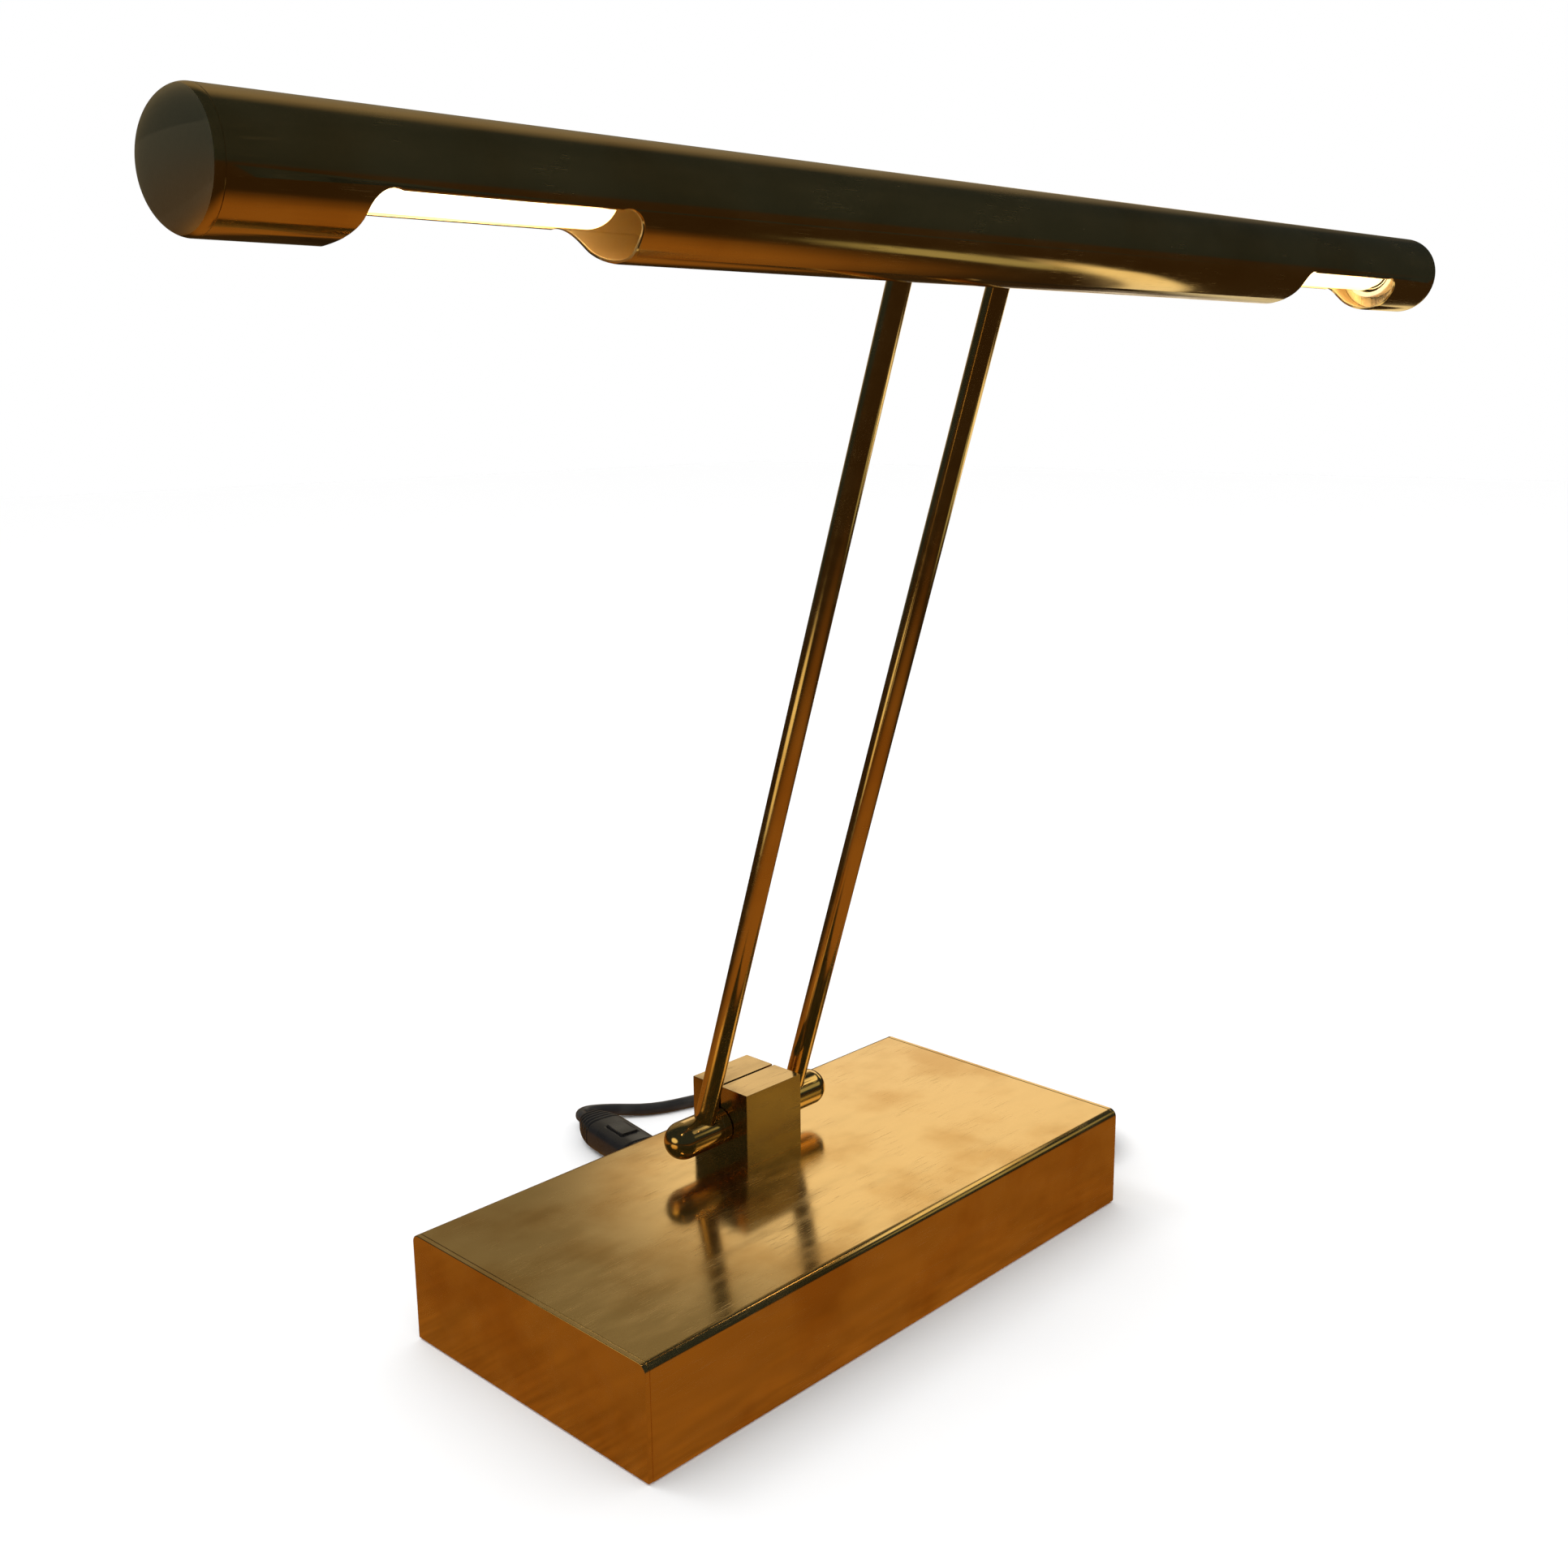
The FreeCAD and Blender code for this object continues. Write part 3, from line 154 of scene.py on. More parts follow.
def hank_points():
    """Two layers of turns that spiral in below and out again above, drawn in at the waist."""
    shift = HANK_PITCH / 2
    layers = ((HANK_LOW, (3, 2, 1, 0)), (HANK_LOW + HANK_STEP, (0, 1, 2, 3)))
    turns = [(HANK_FOLD + step * shift, level) for level, steps in layers for step in steps]
    middle_y = (HANK_FAR_Y + HANK_NEAR_Y) / 2
    radius = turns[0][0]
    far_centre = Vector((HANK_X, HANK_FAR_Y, HANK_LOW))
    touch = far_centre + radius * Vector((math.cos(HANK_ENTRY_ANGLE), math.sin(HANK_ENTRY_ANGLE), 0))
    way = Vector((math.sin(HANK_ENTRY_ANGLE), -math.cos(HANK_ENTRY_ANGLE), 0))
    entry = touch - way * CORD
    points = [entry - way * HANK_LEAD_IN, entry, touch]
    far = True
    for i, (radius, level) in enumerate(turns):
        inner_shift = shift if i in SHIFTED_TURNS else 0
        centre = Vector((HANK_X + inner_shift, HANK_FAR_Y if far else HANK_NEAR_Y, level))
        first = HANK_ENTRY_ANGLE if i == 0 else (math.pi if far else 0)
        last = 0 if far else -math.pi
        side = 1 if far else -1
        if i > 0:
            start = centre - Vector((side * radius, 0, 0))
            before = points[-1]
            waist_x = (before.x + start.x) / 2 + side * HANK_WAIST
            waist = Vector((waist_x, middle_y, (before.z + start.z) / 2))
            points += shifted_run(before, waist)
            points += shifted_run(waist, start)
        points += arc_points(centre, radius, first, last)
        far = not far
    last_waist = Vector((points[-1].x + HANK_WAIST, middle_y, points[-1].z))
    return points + shifted_run(points[-1], last_waist)


def tail_points(start):
    return [
        start + Vector((0, 0.013, 0)),
        Vector((0.1364, start.y + 0.0295, start.z - 0.0007)),
        Vector((0.1254, start.y + 0.042, start.z - 0.0012)),
        Vector((0.1105, 0.0845, 0.00685)),
        PLUG_START,
    ]


def make_cord():
    hank = hank_points()
    points = lead_points() + hank + tail_points(hank[-1])
    curve = bpy.data.curves.new("cord", "CURVE")
    curve.dimensions = "3D"
    curve.bevel_depth = CORD / 2
    curve.bevel_resolution = 5
    curve.resolution_u = 4
    curve.use_fill_caps = True
    spline = curve.splines.new("NURBS")
    spline.points.add(len(points) - 1)
    for point, position in zip(spline.points, points):
        point.co = (*position, 1)
    spline.order_u = 3
    spline.use_endpoint_u = True
    spline.use_smooth = True
    cord = bpy.data.objects.new("cord", curve)
    bpy.context.scene.collection.objects.link(cord)
    return cord


cord = make_cord()


# Material helpers

def material(name, colour, roughness, metallic=0.0):
    made = bpy.data.materials.new(name)
    made.use_nodes = True
    shader = made.node_tree.nodes["Principled BSDF"]
    shader.inputs["Base Color"].default_value = (*colour, 1)
    shader.inputs["Roughness"].default_value = roughness
    shader.inputs["Metallic"].default_value = metallic
    return made, shader


def add(tree, kind, values=(), **settings):
    """Adds a shader node with its settings, and fills or links its inputs."""
    made = tree.nodes.new("ShaderNode" + kind)
    for name, value in settings.items():
        setattr(made, name, value)
    for socket, value in dict(values).items():
        if isinstance(value, bpy.types.NodeSocket):
            tree.links.new(value, made.inputs[socket])
        else:
            made.inputs[socket].default_value = value
    return made


def place(tree):
    return add(tree, "TexCoord").outputs["Object"]


def noise(tree, where, scale, detail=4.0, stretch=(1, 1, 1), turned=0.0):
    """Noise in metres, drawn out along an axis by a small stretch there, and turned about Z and X."""
    mapped = add(tree, "Mapping", {"Vector": where, "Scale": stretch, "Rotation": (turned, 0, turned)})
    values = {"Vector": mapped.outputs[0], "Scale": scale, "Detail": detail}
    return add(tree, "TexNoise", values).outputs["Fac"]


def ramp(tree, value, start, end, low=0.0, high=1.0):
    """Goes smoothly from low to high while the value goes from start to end."""
    values = {"Value": value, "From Min": start, "From Max": end, "To Min": low, "To Max": high}
    return add(tree, "MapRange", values, interpolation_type="SMOOTHSTEP").outputs["Result"]


def maths(tree, operation, a, b):
    return add(tree, "Math", {0: a, 1: b}, operation=operation).outputs[0]


def mixed(tree, factor, a, b):
    """Mixes two colours, each given as three numbers or as another node's socket."""
    colours = [c if isinstance(c, bpy.types.NodeSocket) else (*c, 1) for c in (a, b)]
    made = add(tree, "Mix", {0: factor, 6: colours[0], 7: colours[1]}, data_type="RGBA")
    return made.outputs[2]


def bumped(tree, shader, height, distance, strength=1.0):
    bump = add(tree, "Bump", {"Height": height, "Distance": distance, "Strength": strength})
    tree.links.new(bump.outputs[0], shader.inputs["Normal"])


# Materials

BRASS = (0.87, 0.60, 0.25)
BRASS_AGED = (0.70, 0.42, 0.13)
BLOCK_TINT = (0.70, 0.48, 0.20)
BLOCK_AGED = (0.34, 0.22, 0.08)
SHADE_LINING = (0.95, 0.78, 0.48)
IRON_GREY = (0.07, 0.07, 0.075)
IRON_RUST = (0.16, 0.07, 0.03)
BULB_CORE = (1.0, 0.84, 0.48)
BULB_EDGE = (1.0, 0.50, 0.12)

# Scales of the noise in the brass, the larger the finer
CLOUDS = 28
WIPING = 160
SCRATCHES = 3200
SCRATCH_PATCHES = 45

SCRATCH_RARITY = 0.70
SCRATCH_ANGLES = (0.2, 0.9, 1.7, 2.6)

# The middle of the shade, and a radius that lies within its wall
SHADE_CENTRE = Vector((0, -0.0974, 0.3799))
SHADE_WALL = 14.0 * MM


def scratches(tree, where):
    """Hair-thin straight scratches in a few directions, in patches."""
    total = 0.0
    for angle in SCRATCH_ANGLES:
        lines = noise(tree, where, SCRATCHES, 1.0, (0.02, 1, 1), angle)
        total = maths(tree, "ADD", total, ramp(tree, lines, SCRATCH_RARITY, SCRATCH_RARITY + 0.03))
    patches = ramp(tree, noise(tree, where, SCRATCH_PATCHES, 2.0), 0.42, 0.62)
    return maths(tree, "MULTIPLY", maths(tree, "MINIMUM", total, 1.0), patches)


def brass(name, gloss, wear, tint=BRASS, aged=BRASS_AGED):
    """Polished brass: cloudy tarnish in its colour, and wiping marks and scratches in its gloss."""
    made, shader = material(name, tint, gloss, 1.0)
    tree = made.node_tree
    where = place(tree)
    cloud = noise(tree, where, CLOUDS, 6.0)
    wiped = noise(tree, where, WIPING, 5.0, (0.25, 1, 1), 0.2)
    lines = scratches(tree, where)
    colour = mixed(tree, ramp(tree, cloud, 0.42, 0.70, 0.0, wear), tint, aged)
    tree.links.new(colour, shader.inputs["Base Color"])
    rough = maths(tree, "ADD", ramp(tree, wiped, 0.35, 0.75, gloss, gloss + 0.10 * wear),
                  maths(tree, "MULTIPLY", lines, 0.25 * wear))
    tree.links.new(rough, shader.inputs["Roughness"])
    bumped(tree, shader, wiped, 0.004 * MM, 0.35 * wear)
    return made


def shade_brass():
    """The shade's brass: glossy outside, and dull and pale inside, where it spreads the bulbs' light."""
    made = brass("shade_brass", 0.11, 0.6)
    tree = made.node_tree
    shader = tree.nodes["Principled BSDF"]
    centre = nodes["shade_tube"].matrix_world.inverted() @ SHADE_CENTRE
    offset = add(tree, "VectorMath", {0: place(tree), 1: tuple(centre)}, operation="SUBTRACT").outputs[0]
    flat = add(tree, "VectorMath", {0: offset, 1: (0, 1, 1)}, operation="MULTIPLY").outputs[0]
    distance = add(tree, "VectorMath", {0: flat}, operation="LENGTH").outputs["Value"]
    outside = maths(tree, "GREATER_THAN", distance, SHADE_WALL)
    gloss = shader.inputs["Roughness"].links[0].from_socket
    inner_rough = maths(tree, "SUBTRACT", 0.5, maths(tree, "MULTIPLY", outside, 0.5))
    tree.links.new(maths(tree, "MAXIMUM", gloss, inner_rough), shader.inputs["Roughness"])
    colour = shader.inputs["Base Color"].links[0].from_socket
    tree.links.new(mixed(tree, outside, SHADE_LINING, colour), shader.inputs["Base Color"])
    return made


def dark_plastic(name, colour, roughness, grain):
    made, shader = material(name, colour, roughness)
    tree = made.node_tree
    where = place(tree)
    fine = noise(tree, where, grain, 3.0)
    patch = noise(tree, where, 60, 4.0)
    rough = ramp(tree, patch, 0.3, 0.7, roughness - 0.06, roughness + 0.10)
    tree.links.new(rough, shader.inputs["Roughness"])
    paler = tuple(c * 1.5 for c in colour)
    tree.links.new(mixed(tree, ramp(tree, patch, 0.4, 0.8), colour, paler), shader.inputs["Base Color"])
    bumped(tree, shader, fine, 0.03 * MM, 0.5)
    return made


def steel(name, colour, roughness):
    made, shader = material(name, colour, roughness, 1.0)
    tree = made.node_tree
    where = place(tree)
    turned = noise(tree, where, 700, 3.0, (1, 1, 0.1))
    rough = ramp(tree, turned, 0.3, 0.7, roughness - 0.08, roughness + 0.12)
    tree.links.new(rough, shader.inputs["Roughness"])
    bumped(tree, shader, turned, 0.02 * MM, 0.4)
    return made


def cast_iron():
    made, shader = material("cast_iron", IRON_GREY, 0.75, 0.4)
    tree = made.node_tree
    where = place(tree)
    grain = noise(tree, where, 600, 6.0)
    rust = noise(tree, where, 40, 6.0)
    colour = mixed(tree, ramp(tree, rust, 0.55, 0.75, 0, 0.6), IRON_GREY, IRON_RUST)
    tree.links.new(colour, shader.inputs["Base Color"])
    bumped(tree, shader, grain, 0.15 * MM, 0.8)
    return made


def felt():
    made, shader = material("felt", (0.035, 0.042, 0.034), 0.95)
    tree = made.node_tree
    where = place(tree)
    fibre = noise(tree, where, 1800, 6.0)
    tree.links.new(mixed(tree, fibre, (0.02, 0.026, 0.02), (0.06, 0.07, 0.055)), shader.inputs["Base Color"])
    shader.inputs["Sheen Weight"].default_value = 0.4
    shader.inputs["Sheen Roughness"].default_value = 0.5
    bumped(tree, shader, fibre, 0.3 * MM, 0.9)
    return made


def cord_sheath():
    """Dark grey plastic sheath with a soft shine."""
    made, shader = material("cord_sheath", (0.022, 0.021, 0.022), 0.36)
    tree = made.node_tree
    where = place(tree)
    dust = noise(tree, where, 90, 5.0)
    fine = noise(tree, where, 900, 3.0)
    colour = mixed(tree, ramp(tree, dust, 0.45, 0.8, 0, 0.5), (0.020, 0.019, 0.020), (0.065, 0.060, 0.055))
    tree.links.new(colour, shader.inputs["Base Color"])
    tree.links.new(ramp(tree, dust, 0.3, 0.75, 0.28, 0.48), shader.inputs["Roughness"])
    bumped(tree, shader, fine, 0.04 * MM, 0.4)
    return made


def lit_glass():
    """A frosted bulb that is on: warm white, a little deeper in colour towards its outline."""
    made, shader = material("lit_glass", (1.0, 0.93, 0.80), 0.25)
    tree = made.node_tree
    facing = add(tree, "LayerWeight", {"Blend": 0.35}).outputs["Facing"]
    mottle = noise(tree, place(tree), 120, 2.0)
    warm = mixed(tree, ramp(tree, facing, 0.1, 0.9), BULB_CORE, BULB_EDGE)
    tree.links.new(warm, shader.inputs["Emission Color"])
    tree.links.new(ramp(tree, mottle, 0.2, 0.8, 2.8, 3.4), shader.inputs["Emission Strength"])
    return made


def holder_white():
    """The glazed ceramic of the lamp holders, browned a little by the heat."""
    made, shader = material("holder_ceramic", (0.72, 0.66, 0.55), 0.25)
    tree = made.node_tree
    stain = noise(tree, place(tree), 90, 5.0)
    colour = mixed(tree, ramp(tree, stain, 0.45, 0.75), (0.74, 0.69, 0.58), (0.42, 0.31, 0.18))
    tree.links.new(colour, shader.inputs["Base Color"])
    bumped(tree, shader, stain, 0.05 * MM, 0.3)
    return made


def lead_sheath():
    made, shader = material("lead_sheath", (0.45, 0.40, 0.30), 0.5)
    tree = made.node_tree
    grime = noise(tree, place(tree), 140, 4.0)
    colour = mixed(tree, ramp(tree, grime, 0.4, 0.8), (0.50, 0.45, 0.34), (0.22, 0.18, 0.12))
    tree.links.new(colour, shader.inputs["Base Color"])
    return made


BASE_BRASS = brass("base_brass", 0.13, 0.9)
BLOCK_BRASS = brass("block_brass", 0.14, 1.0, BLOCK_TINT, BLOCK_AGED)
KNOB_BRASS = brass("knob_brass", 0.10, 0.6)
ROD_BRASS = brass("rod_brass", 0.12, 0.7)
SHADE_BRASS = shade_brass()
BLACK_PLASTIC = dark_plastic("black_plastic", (0.012, 0.011, 0.011), 0.27, 1500)
ROCKER_PLASTIC = dark_plastic("rocker_plastic", (0.016, 0.015, 0.014), 0.25, 1500)
BLACK_RUBBER = dark_plastic("black_rubber", (0.016, 0.015, 0.015), 0.55, 800)
STEEL = steel("steel", (0.62, 0.61, 0.58), 0.30)
CAP_METAL = steel("cap_metal", (0.74, 0.72, 0.66), 0.26)
IRON = cast_iron()
FELT = felt()
SHEATH = cord_sheath()
LIT_GLASS = lit_glass()
CERAMIC = holder_white()
LEAD = lead_sheath()

FINISHES = {
    BASE_BRASS: ("brass", ["base_cover", "base_end_left", "base_end_right"]),
    BLOCK_BRASS: ("brass", ["hinge_block"]),
    KNOB_BRASS: ("brass", [
        "lower_axle", "lower_collar_left", "lower_collar_right", "lower_knob_left",
        "lower_knob_right", "rod_head_left", "rod_head_right", "axle_nuts", "shade_block",
    ]),
    ROD_BRASS: ("brass", ["arm_rod_left", "arm_rod_right"]),
    SHADE_BRASS: ("shade_brass", ["shade_tube", "shade_cap_left", "shade_cap_right"]),
    STEEL: ("steel", [
        "bottom_plate", "foot_screws", "cover_brackets", "cord_clamp_screws", "clamp_screw",
        "spreader_plate", "block_screws", "upper_axle", "shade_block_screws", "rocker_pin",
        "switch_contacts", "holder_disc_left", "holder_disc_right", "plug_pins",
    ]),
    CAP_METAL: ("bulb_cap", [
        "bulb_cap_left", "bulb_cap_right", "holder_shell_left", "holder_shell_right",
    ]),
    IRON: ("iron", ["ballast_weight"]),
    FELT: ("pad", ["base_pad"]),
    BLACK_PLASTIC: ("black_plastic", [
        "switch_case_lower", "switch_case_upper", "cord_clamp", "terminal_block", "plug_body", "cord_tie",
    ]),
    ROCKER_PLASTIC: ("rocker", ["switch_rocker"]),
    BLACK_RUBBER: ("black_rubber", ["strain_relief"]),
    SHEATH: ("cord", ["inner_cord", "cord_lead", "cord_run", "cord_hank", "cord_tail"]),
    LEAD: ("lead", ["arm_leads", "shade_leads"]),
    CERAMIC: ("holder", ["lamp_holder_left", "lamp_holder_right"]),
    LIT_GLASS: ("bulb_glass", ["bulb_glass_left", "bulb_glass_right"]),
}


def dress(obj, finish):
    obj.data.materials.clear()
    obj.data.materials.append(finish)


def dress_cad():
    for finish, (slot, names) in FINISHES.items():
        for name in names:
            dress(nodes[name], finish)


dress_cad()


# Small rounding of the CAD pieces' sharp edges. The hinge block keeps to the least, because a wider
# one folds over at its screw hole.

EDGE = 0.12 * MM
EDGE_ANGLE = math.radians(40)
SAME_CORNER = 0.001 * MM
ROUNDED = {
    "base_cover": 0.3 * MM, "base_end_left": 0.35 * MM, "base_end_right": 0.35 * MM,
    "lower_collar_left": 0.25 * MM, "lower_collar_right": 0.25 * MM,
    "lower_knob_left": 0.2 * MM, "lower_knob_right": 0.2 * MM,
    "shade_block": 0.3 * MM, "shade_tube": 0.15 * MM,
    "shade_cap_left": 0.15 * MM, "shade_cap_right": 0.15 * MM,
    "lamp_holder_left": 0.3 * MM, "lamp_holder_right": 0.3 * MM,
    "ballast_weight": 0.5 * MM, "terminal_block": 0.4 * MM, "switch_rocker": 0.4 * MM,
}


def bevelled(obj, width):
    bevel = obj.modifiers.new("edge", "BEVEL")
    bevel.width = width
    bevel.segments = 2
    bevel.limit_method = "ANGLE"
    bevel.angle_limit = EDGE_ANGLE
    bevel.harden_normals = True
    return bevel


def round_edges(obj, width):
    """Joins the corners that the import left apart, then rounds the sharp edges."""
    mesh = obj.data
    if "custom_normal" in mesh.attributes:
        mesh.attributes.remove(mesh.attributes["custom_normal"])
    for face in mesh.polygons:
        face.use_smooth = True
    weld = obj.modifiers.new("join", "WELD")
    weld.merge_threshold = SAME_CORNER
    bevelled(obj, width).use_clamp_overlap = False


for name, obj in nodes.items():
    round_edges(obj, ROUNDED.get(name, EDGE))


# Shapes made here

AROUND = 48
STEPS_PER_RIB = 8
ROUND = 2


def mesh_object(name, vertices, faces, finish, body):
    mesh = bpy.data.meshes.new(name)
    mesh.from_pydata([tuple(v) for v in vertices], [], faces)
    mesh.validate()
    mesh.update()
    working = bmesh.new()
    working.from_mesh(mesh)
    bmesh.ops.recalc_face_normals(working, faces=working.faces)
    working.to_mesh(mesh)
    working.free()
    for face in mesh.polygons:
        face.use_smooth = True
    obj = bpy.data.objects.new(name, mesh)
    bpy.context.scene.collection.objects.link(obj)
    dress(obj, finish)
    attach(obj, body)
    return obj


def loft(name, loops, finish, body, closed=False):
    """Joins loops of as many points each. An open loft gets a cap at each end, a closed one goes round."""
    count = len(loops[0])
    vertices = [p for points in loops for p in points]
    faces = []
    last = len(loops) if closed else len(loops) - 1
    for i in range(last):
        a = i * count
        b = (i + 1) % len(loops) * count
        faces += [(a + j, a + (j + 1) % count, b + (j + 1) % count, b + j) for j in range(count)]
    if not closed:
        faces.append(tuple(range(count)))
        faces.append(tuple(range(len(vertices) - count, len(vertices))))
    return mesh_object(name, vertices, faces, finish, body)


def rounded_section(half_width, half_height, power, count=AROUND):
    """A rounded rectangle as a superellipse: points (across, up). The larger the power, the squarer."""
    points = []
    for i in range(count):
        angle = 2 * math.pi * i / count
        across, up = math.cos(angle), math.sin(angle)
        points.append((
            half_width * math.copysign(abs(across) ** (2 / power), across),
            half_height * math.copysign(abs(up) ** (2 / power), up),
        ))
    return points


def cut_out(obj, cutter):
    """Cuts one shape out of another for good."""
    cut = obj.modifiers.new("cut", "BOOLEAN")
    cut.operation = "DIFFERENCE"
    cut.solver = "EXACT"
    cut.object = cutter
    bpy.context.view_layer.update()
    evaluated = obj.evaluated_get(bpy.context.evaluated_depsgraph_get())
    made = bpy.data.meshes.new_from_object(evaluated)
    obj.modifiers.remove(cut)
    obj.data = made
    bpy.data.objects.remove(cutter)


# Strain relief: a ribbed rubber cone

RELIEF_ROOT = 12.4 * MM
RELIEF_TIP = 7.4 * MM
RELIEF_LENGTH = 22 * MM
FLANGE = 13.6 * MM
FLANGE_THICKNESS = 1.6 * MM
FLANGE_EDGE = 0.4 * MM
NECK_LENGTH = 4.5 * MM
NECK_STEP = 1 * MM
RELIEF_RIBS = 7
RIB_DEPTH = 0.7 * MM


def strain_relief():
    wall_y = CORD_EXIT.y - RELIEF_LENGTH - FLANGE_THICKNESS
    outer_y = wall_y + FLANGE_THICKNESS
    neck = RELIEF_ROOT / 2 - NECK_STEP
    rim = FLANGE / 2
    profile = [
        (neck, wall_y - NECK_LENGTH),
        (neck, wall_y),
        (rim - FLANGE_EDGE, wall_y),
        (rim, wall_y + FLANGE_EDGE),
        (rim, outer_y - FLANGE_EDGE),
        (rim - FLANGE_EDGE, outer_y),
    ]
    steps = RELIEF_RIBS * STEPS_PER_RIB
    for i in range(steps + 1):
        share = i / steps
        radius = (RELIEF_ROOT + (RELIEF_TIP - RELIEF_ROOT) * share) / 2
        groove = max(0.0, math.sin(share * RELIEF_RIBS * 2 * math.pi)) ** 0.5
        profile.append((radius - RIB_DEPTH * groove, outer_y + share * RELIEF_LENGTH))
    loops = []
    for radius, y in profile:
        loops.append([
            Vector((CORD_EXIT.x + radius * math.cos(a), y, CORD_EXIT.z + radius * math.sin(a)))
            for a in (2 * math.pi * i / AROUND for i in range(AROUND))
        ])
    relief = loft("ribbed_relief", loops, BLACK_RUBBER, "base")
    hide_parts("strain_relief")


# Switch on the cord: a smooth body whose tapered ends, its noses, are ribbed

SWITCH_WIDTH = 20 * MM
SWITCH_HEIGHT = 13.5 * MM
NOSE_LENGTH = 17 * MM
NOSE_TIP = 9.5 * MM
NOSE_RIBS = 6
NOSE_RIB_DEPTH = 1.3 * MM
NOSE_RIBBED = (0.09, 0.93)
TIP_ROUND = 2.2 * MM
TIP_SHARE = 0.62
SWITCH_SQUARENESS = 3.2
SWITCH_STEPS = 150
ROCKER_HOLE = (9.2 * MM, 14.2 * MM)
ROCKER_HOLE_DEPTH = 7 * MM
CUT_OVER = 2 * MM


def switch_frame(across, along, up):
    """A point given across the switch, along it from its near end, and up from the table."""
    side = Vector((math.cos(SWITCH_TURN), -math.sin(SWITCH_TURN), 0))
    on_axis = switch_point(along)
    return Vector((on_axis.x, on_axis.y, up)) + side * across


def switch_section(along):
    """Half width, middle height and half height of the switch at a place along it."""
    from_end = min(along, SWITCH_LENGTH - along)
    share = min(1.0, from_end / NOSE_LENGTH)
    swell = math.sin(share * math.pi / 2) ** 0.8
    tip = math.sqrt(max(0.0, 1 - max(0.0, 1 - from_end / TIP_ROUND) ** 2))
    half = (NOSE_TIP + (SWITCH_WIDTH - NOSE_TIP) * swell) / 2
    low = (SWITCH_NEAR.z - NOSE_TIP / 2) * (1 - swell)
    tip_high = SWITCH_NEAR.z + NOSE_TIP / 2
    high = tip_high + (SWITCH_HEIGHT - tip_high) * swell
    middle = (low + high) / 2
    size = TIP_SHARE + (1 - TIP_SHARE) * tip
    groove = 0.0
    if NOSE_RIBBED[0] < share < NOSE_RIBBED[1]:
        groove = NOSE_RIB_DEPTH * max(0.0, math.sin(share * NOSE_RIBS * 2 * math.pi)) ** 0.6
    return half * size - groove, middle, (high - low) / 2 * size - groove


def rocker_hole():
    """A box to cut the hole for the rocker out of the switch."""
    half_width, half_length = (side / 2 for side in ROCKER_HOLE)
    corners = [
        switch_frame(sx * half_width, SWITCH_LENGTH / 2 + sy * half_length, up)
        for up in (SWITCH_HEIGHT - ROCKER_HOLE_DEPTH, SWITCH_HEIGHT + CUT_OVER)
        for sx, sy in ((-1, -1), (1, -1), (1, 1), (-1, 1))
    ]
    faces = [(0, 1, 2, 3), (4, 5, 6, 7), (0, 1, 5, 4), (1, 2, 6, 5), (2, 3, 7, 6), (3, 0, 4, 7)]
    return mesh_object("switch_cutter", corners, faces, BLACK_PLASTIC, "base")


def switch_body():
    loops = []
    for i in range(SWITCH_STEPS + 1):
        along = SWITCH_LENGTH * i / SWITCH_STEPS
        half, middle, rise = switch_section(along)
        section = rounded_section(half, rise, SWITCH_SQUARENESS)
        loops.append([switch_frame(across, along, middle + up) for across, up in section])
    body = loft("switch_body", loops, BLACK_PLASTIC, "base")
    cut_out(body, rocker_hole())
    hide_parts("switch_case_lower", "switch_case_upper")
    return body


# Plug: a flat two-pin mains plug with a waisted grip

PLUG_RELIEF = 16 * MM
PLUG_BODY = 34 * MM
PLUG_WIDTH = 35 * MM
PLUG_THICKNESS = 13.7 * MM
PLUG_EDGE = 1.2 * MM
PLUG_STEPS = 60
PLUG_SQUARENESS = 5
PLUG_FACE_SHARE = 0.95
PLUG_TAPER = 0.1
PLUG_WAIST_START = 15 * MM
PLUG_ROOT_SHARE = 0.30
GRIP_START = 17 * MM
GRIP_PITCH = 2.6 * MM
GRIP_DEPTH = 0.5 * MM
SHOULDER = (7.5 * MM, 5.6 * MM)
SHOULDER_SQUARENESS = 3
SHOULDER_BACK = 0.6 * MM
PLUG_RELIEF_START = 0.8 * MM
PLUG_RELIEF_ROOT = 5 * MM
PLUG_RELIEF_TIP = 3.6 * MM
PLUG_RIBS = 5
PIN_SLEEVE = 10 * MM
PIN_DIAMETER = 4.0 * MM
PIN_SPREAD = 19 * MM
SLEEVE_OVER = 0.03 * MM
SLEEVE_EDGE = 0.3 * MM
LEAST_SHARE = 0.02
SLEEVE_TIP_SHARE = 0.96


def plug_loop(x, section, side_y=0.0):
    """A loop across the plug at one place along X."""
    return [Vector((x, PLUG_START.y + side_y + across, PLUG_START.z + up)) for across, up in section]


def plug_half_width(along):
    """Half the plug's width, this far from its pin face."""
    full = PLUG_WIDTH / 2
    if along < PLUG_WAIST_START:
        return full
    share = min(1.0, (along - PLUG_WAIST_START) / (PLUG_BODY - PLUG_WAIST_START))
    return full + (PLUG_WIDTH * PLUG_ROOT_SHARE - full) * math.sin(share * math.pi / 2) ** 2


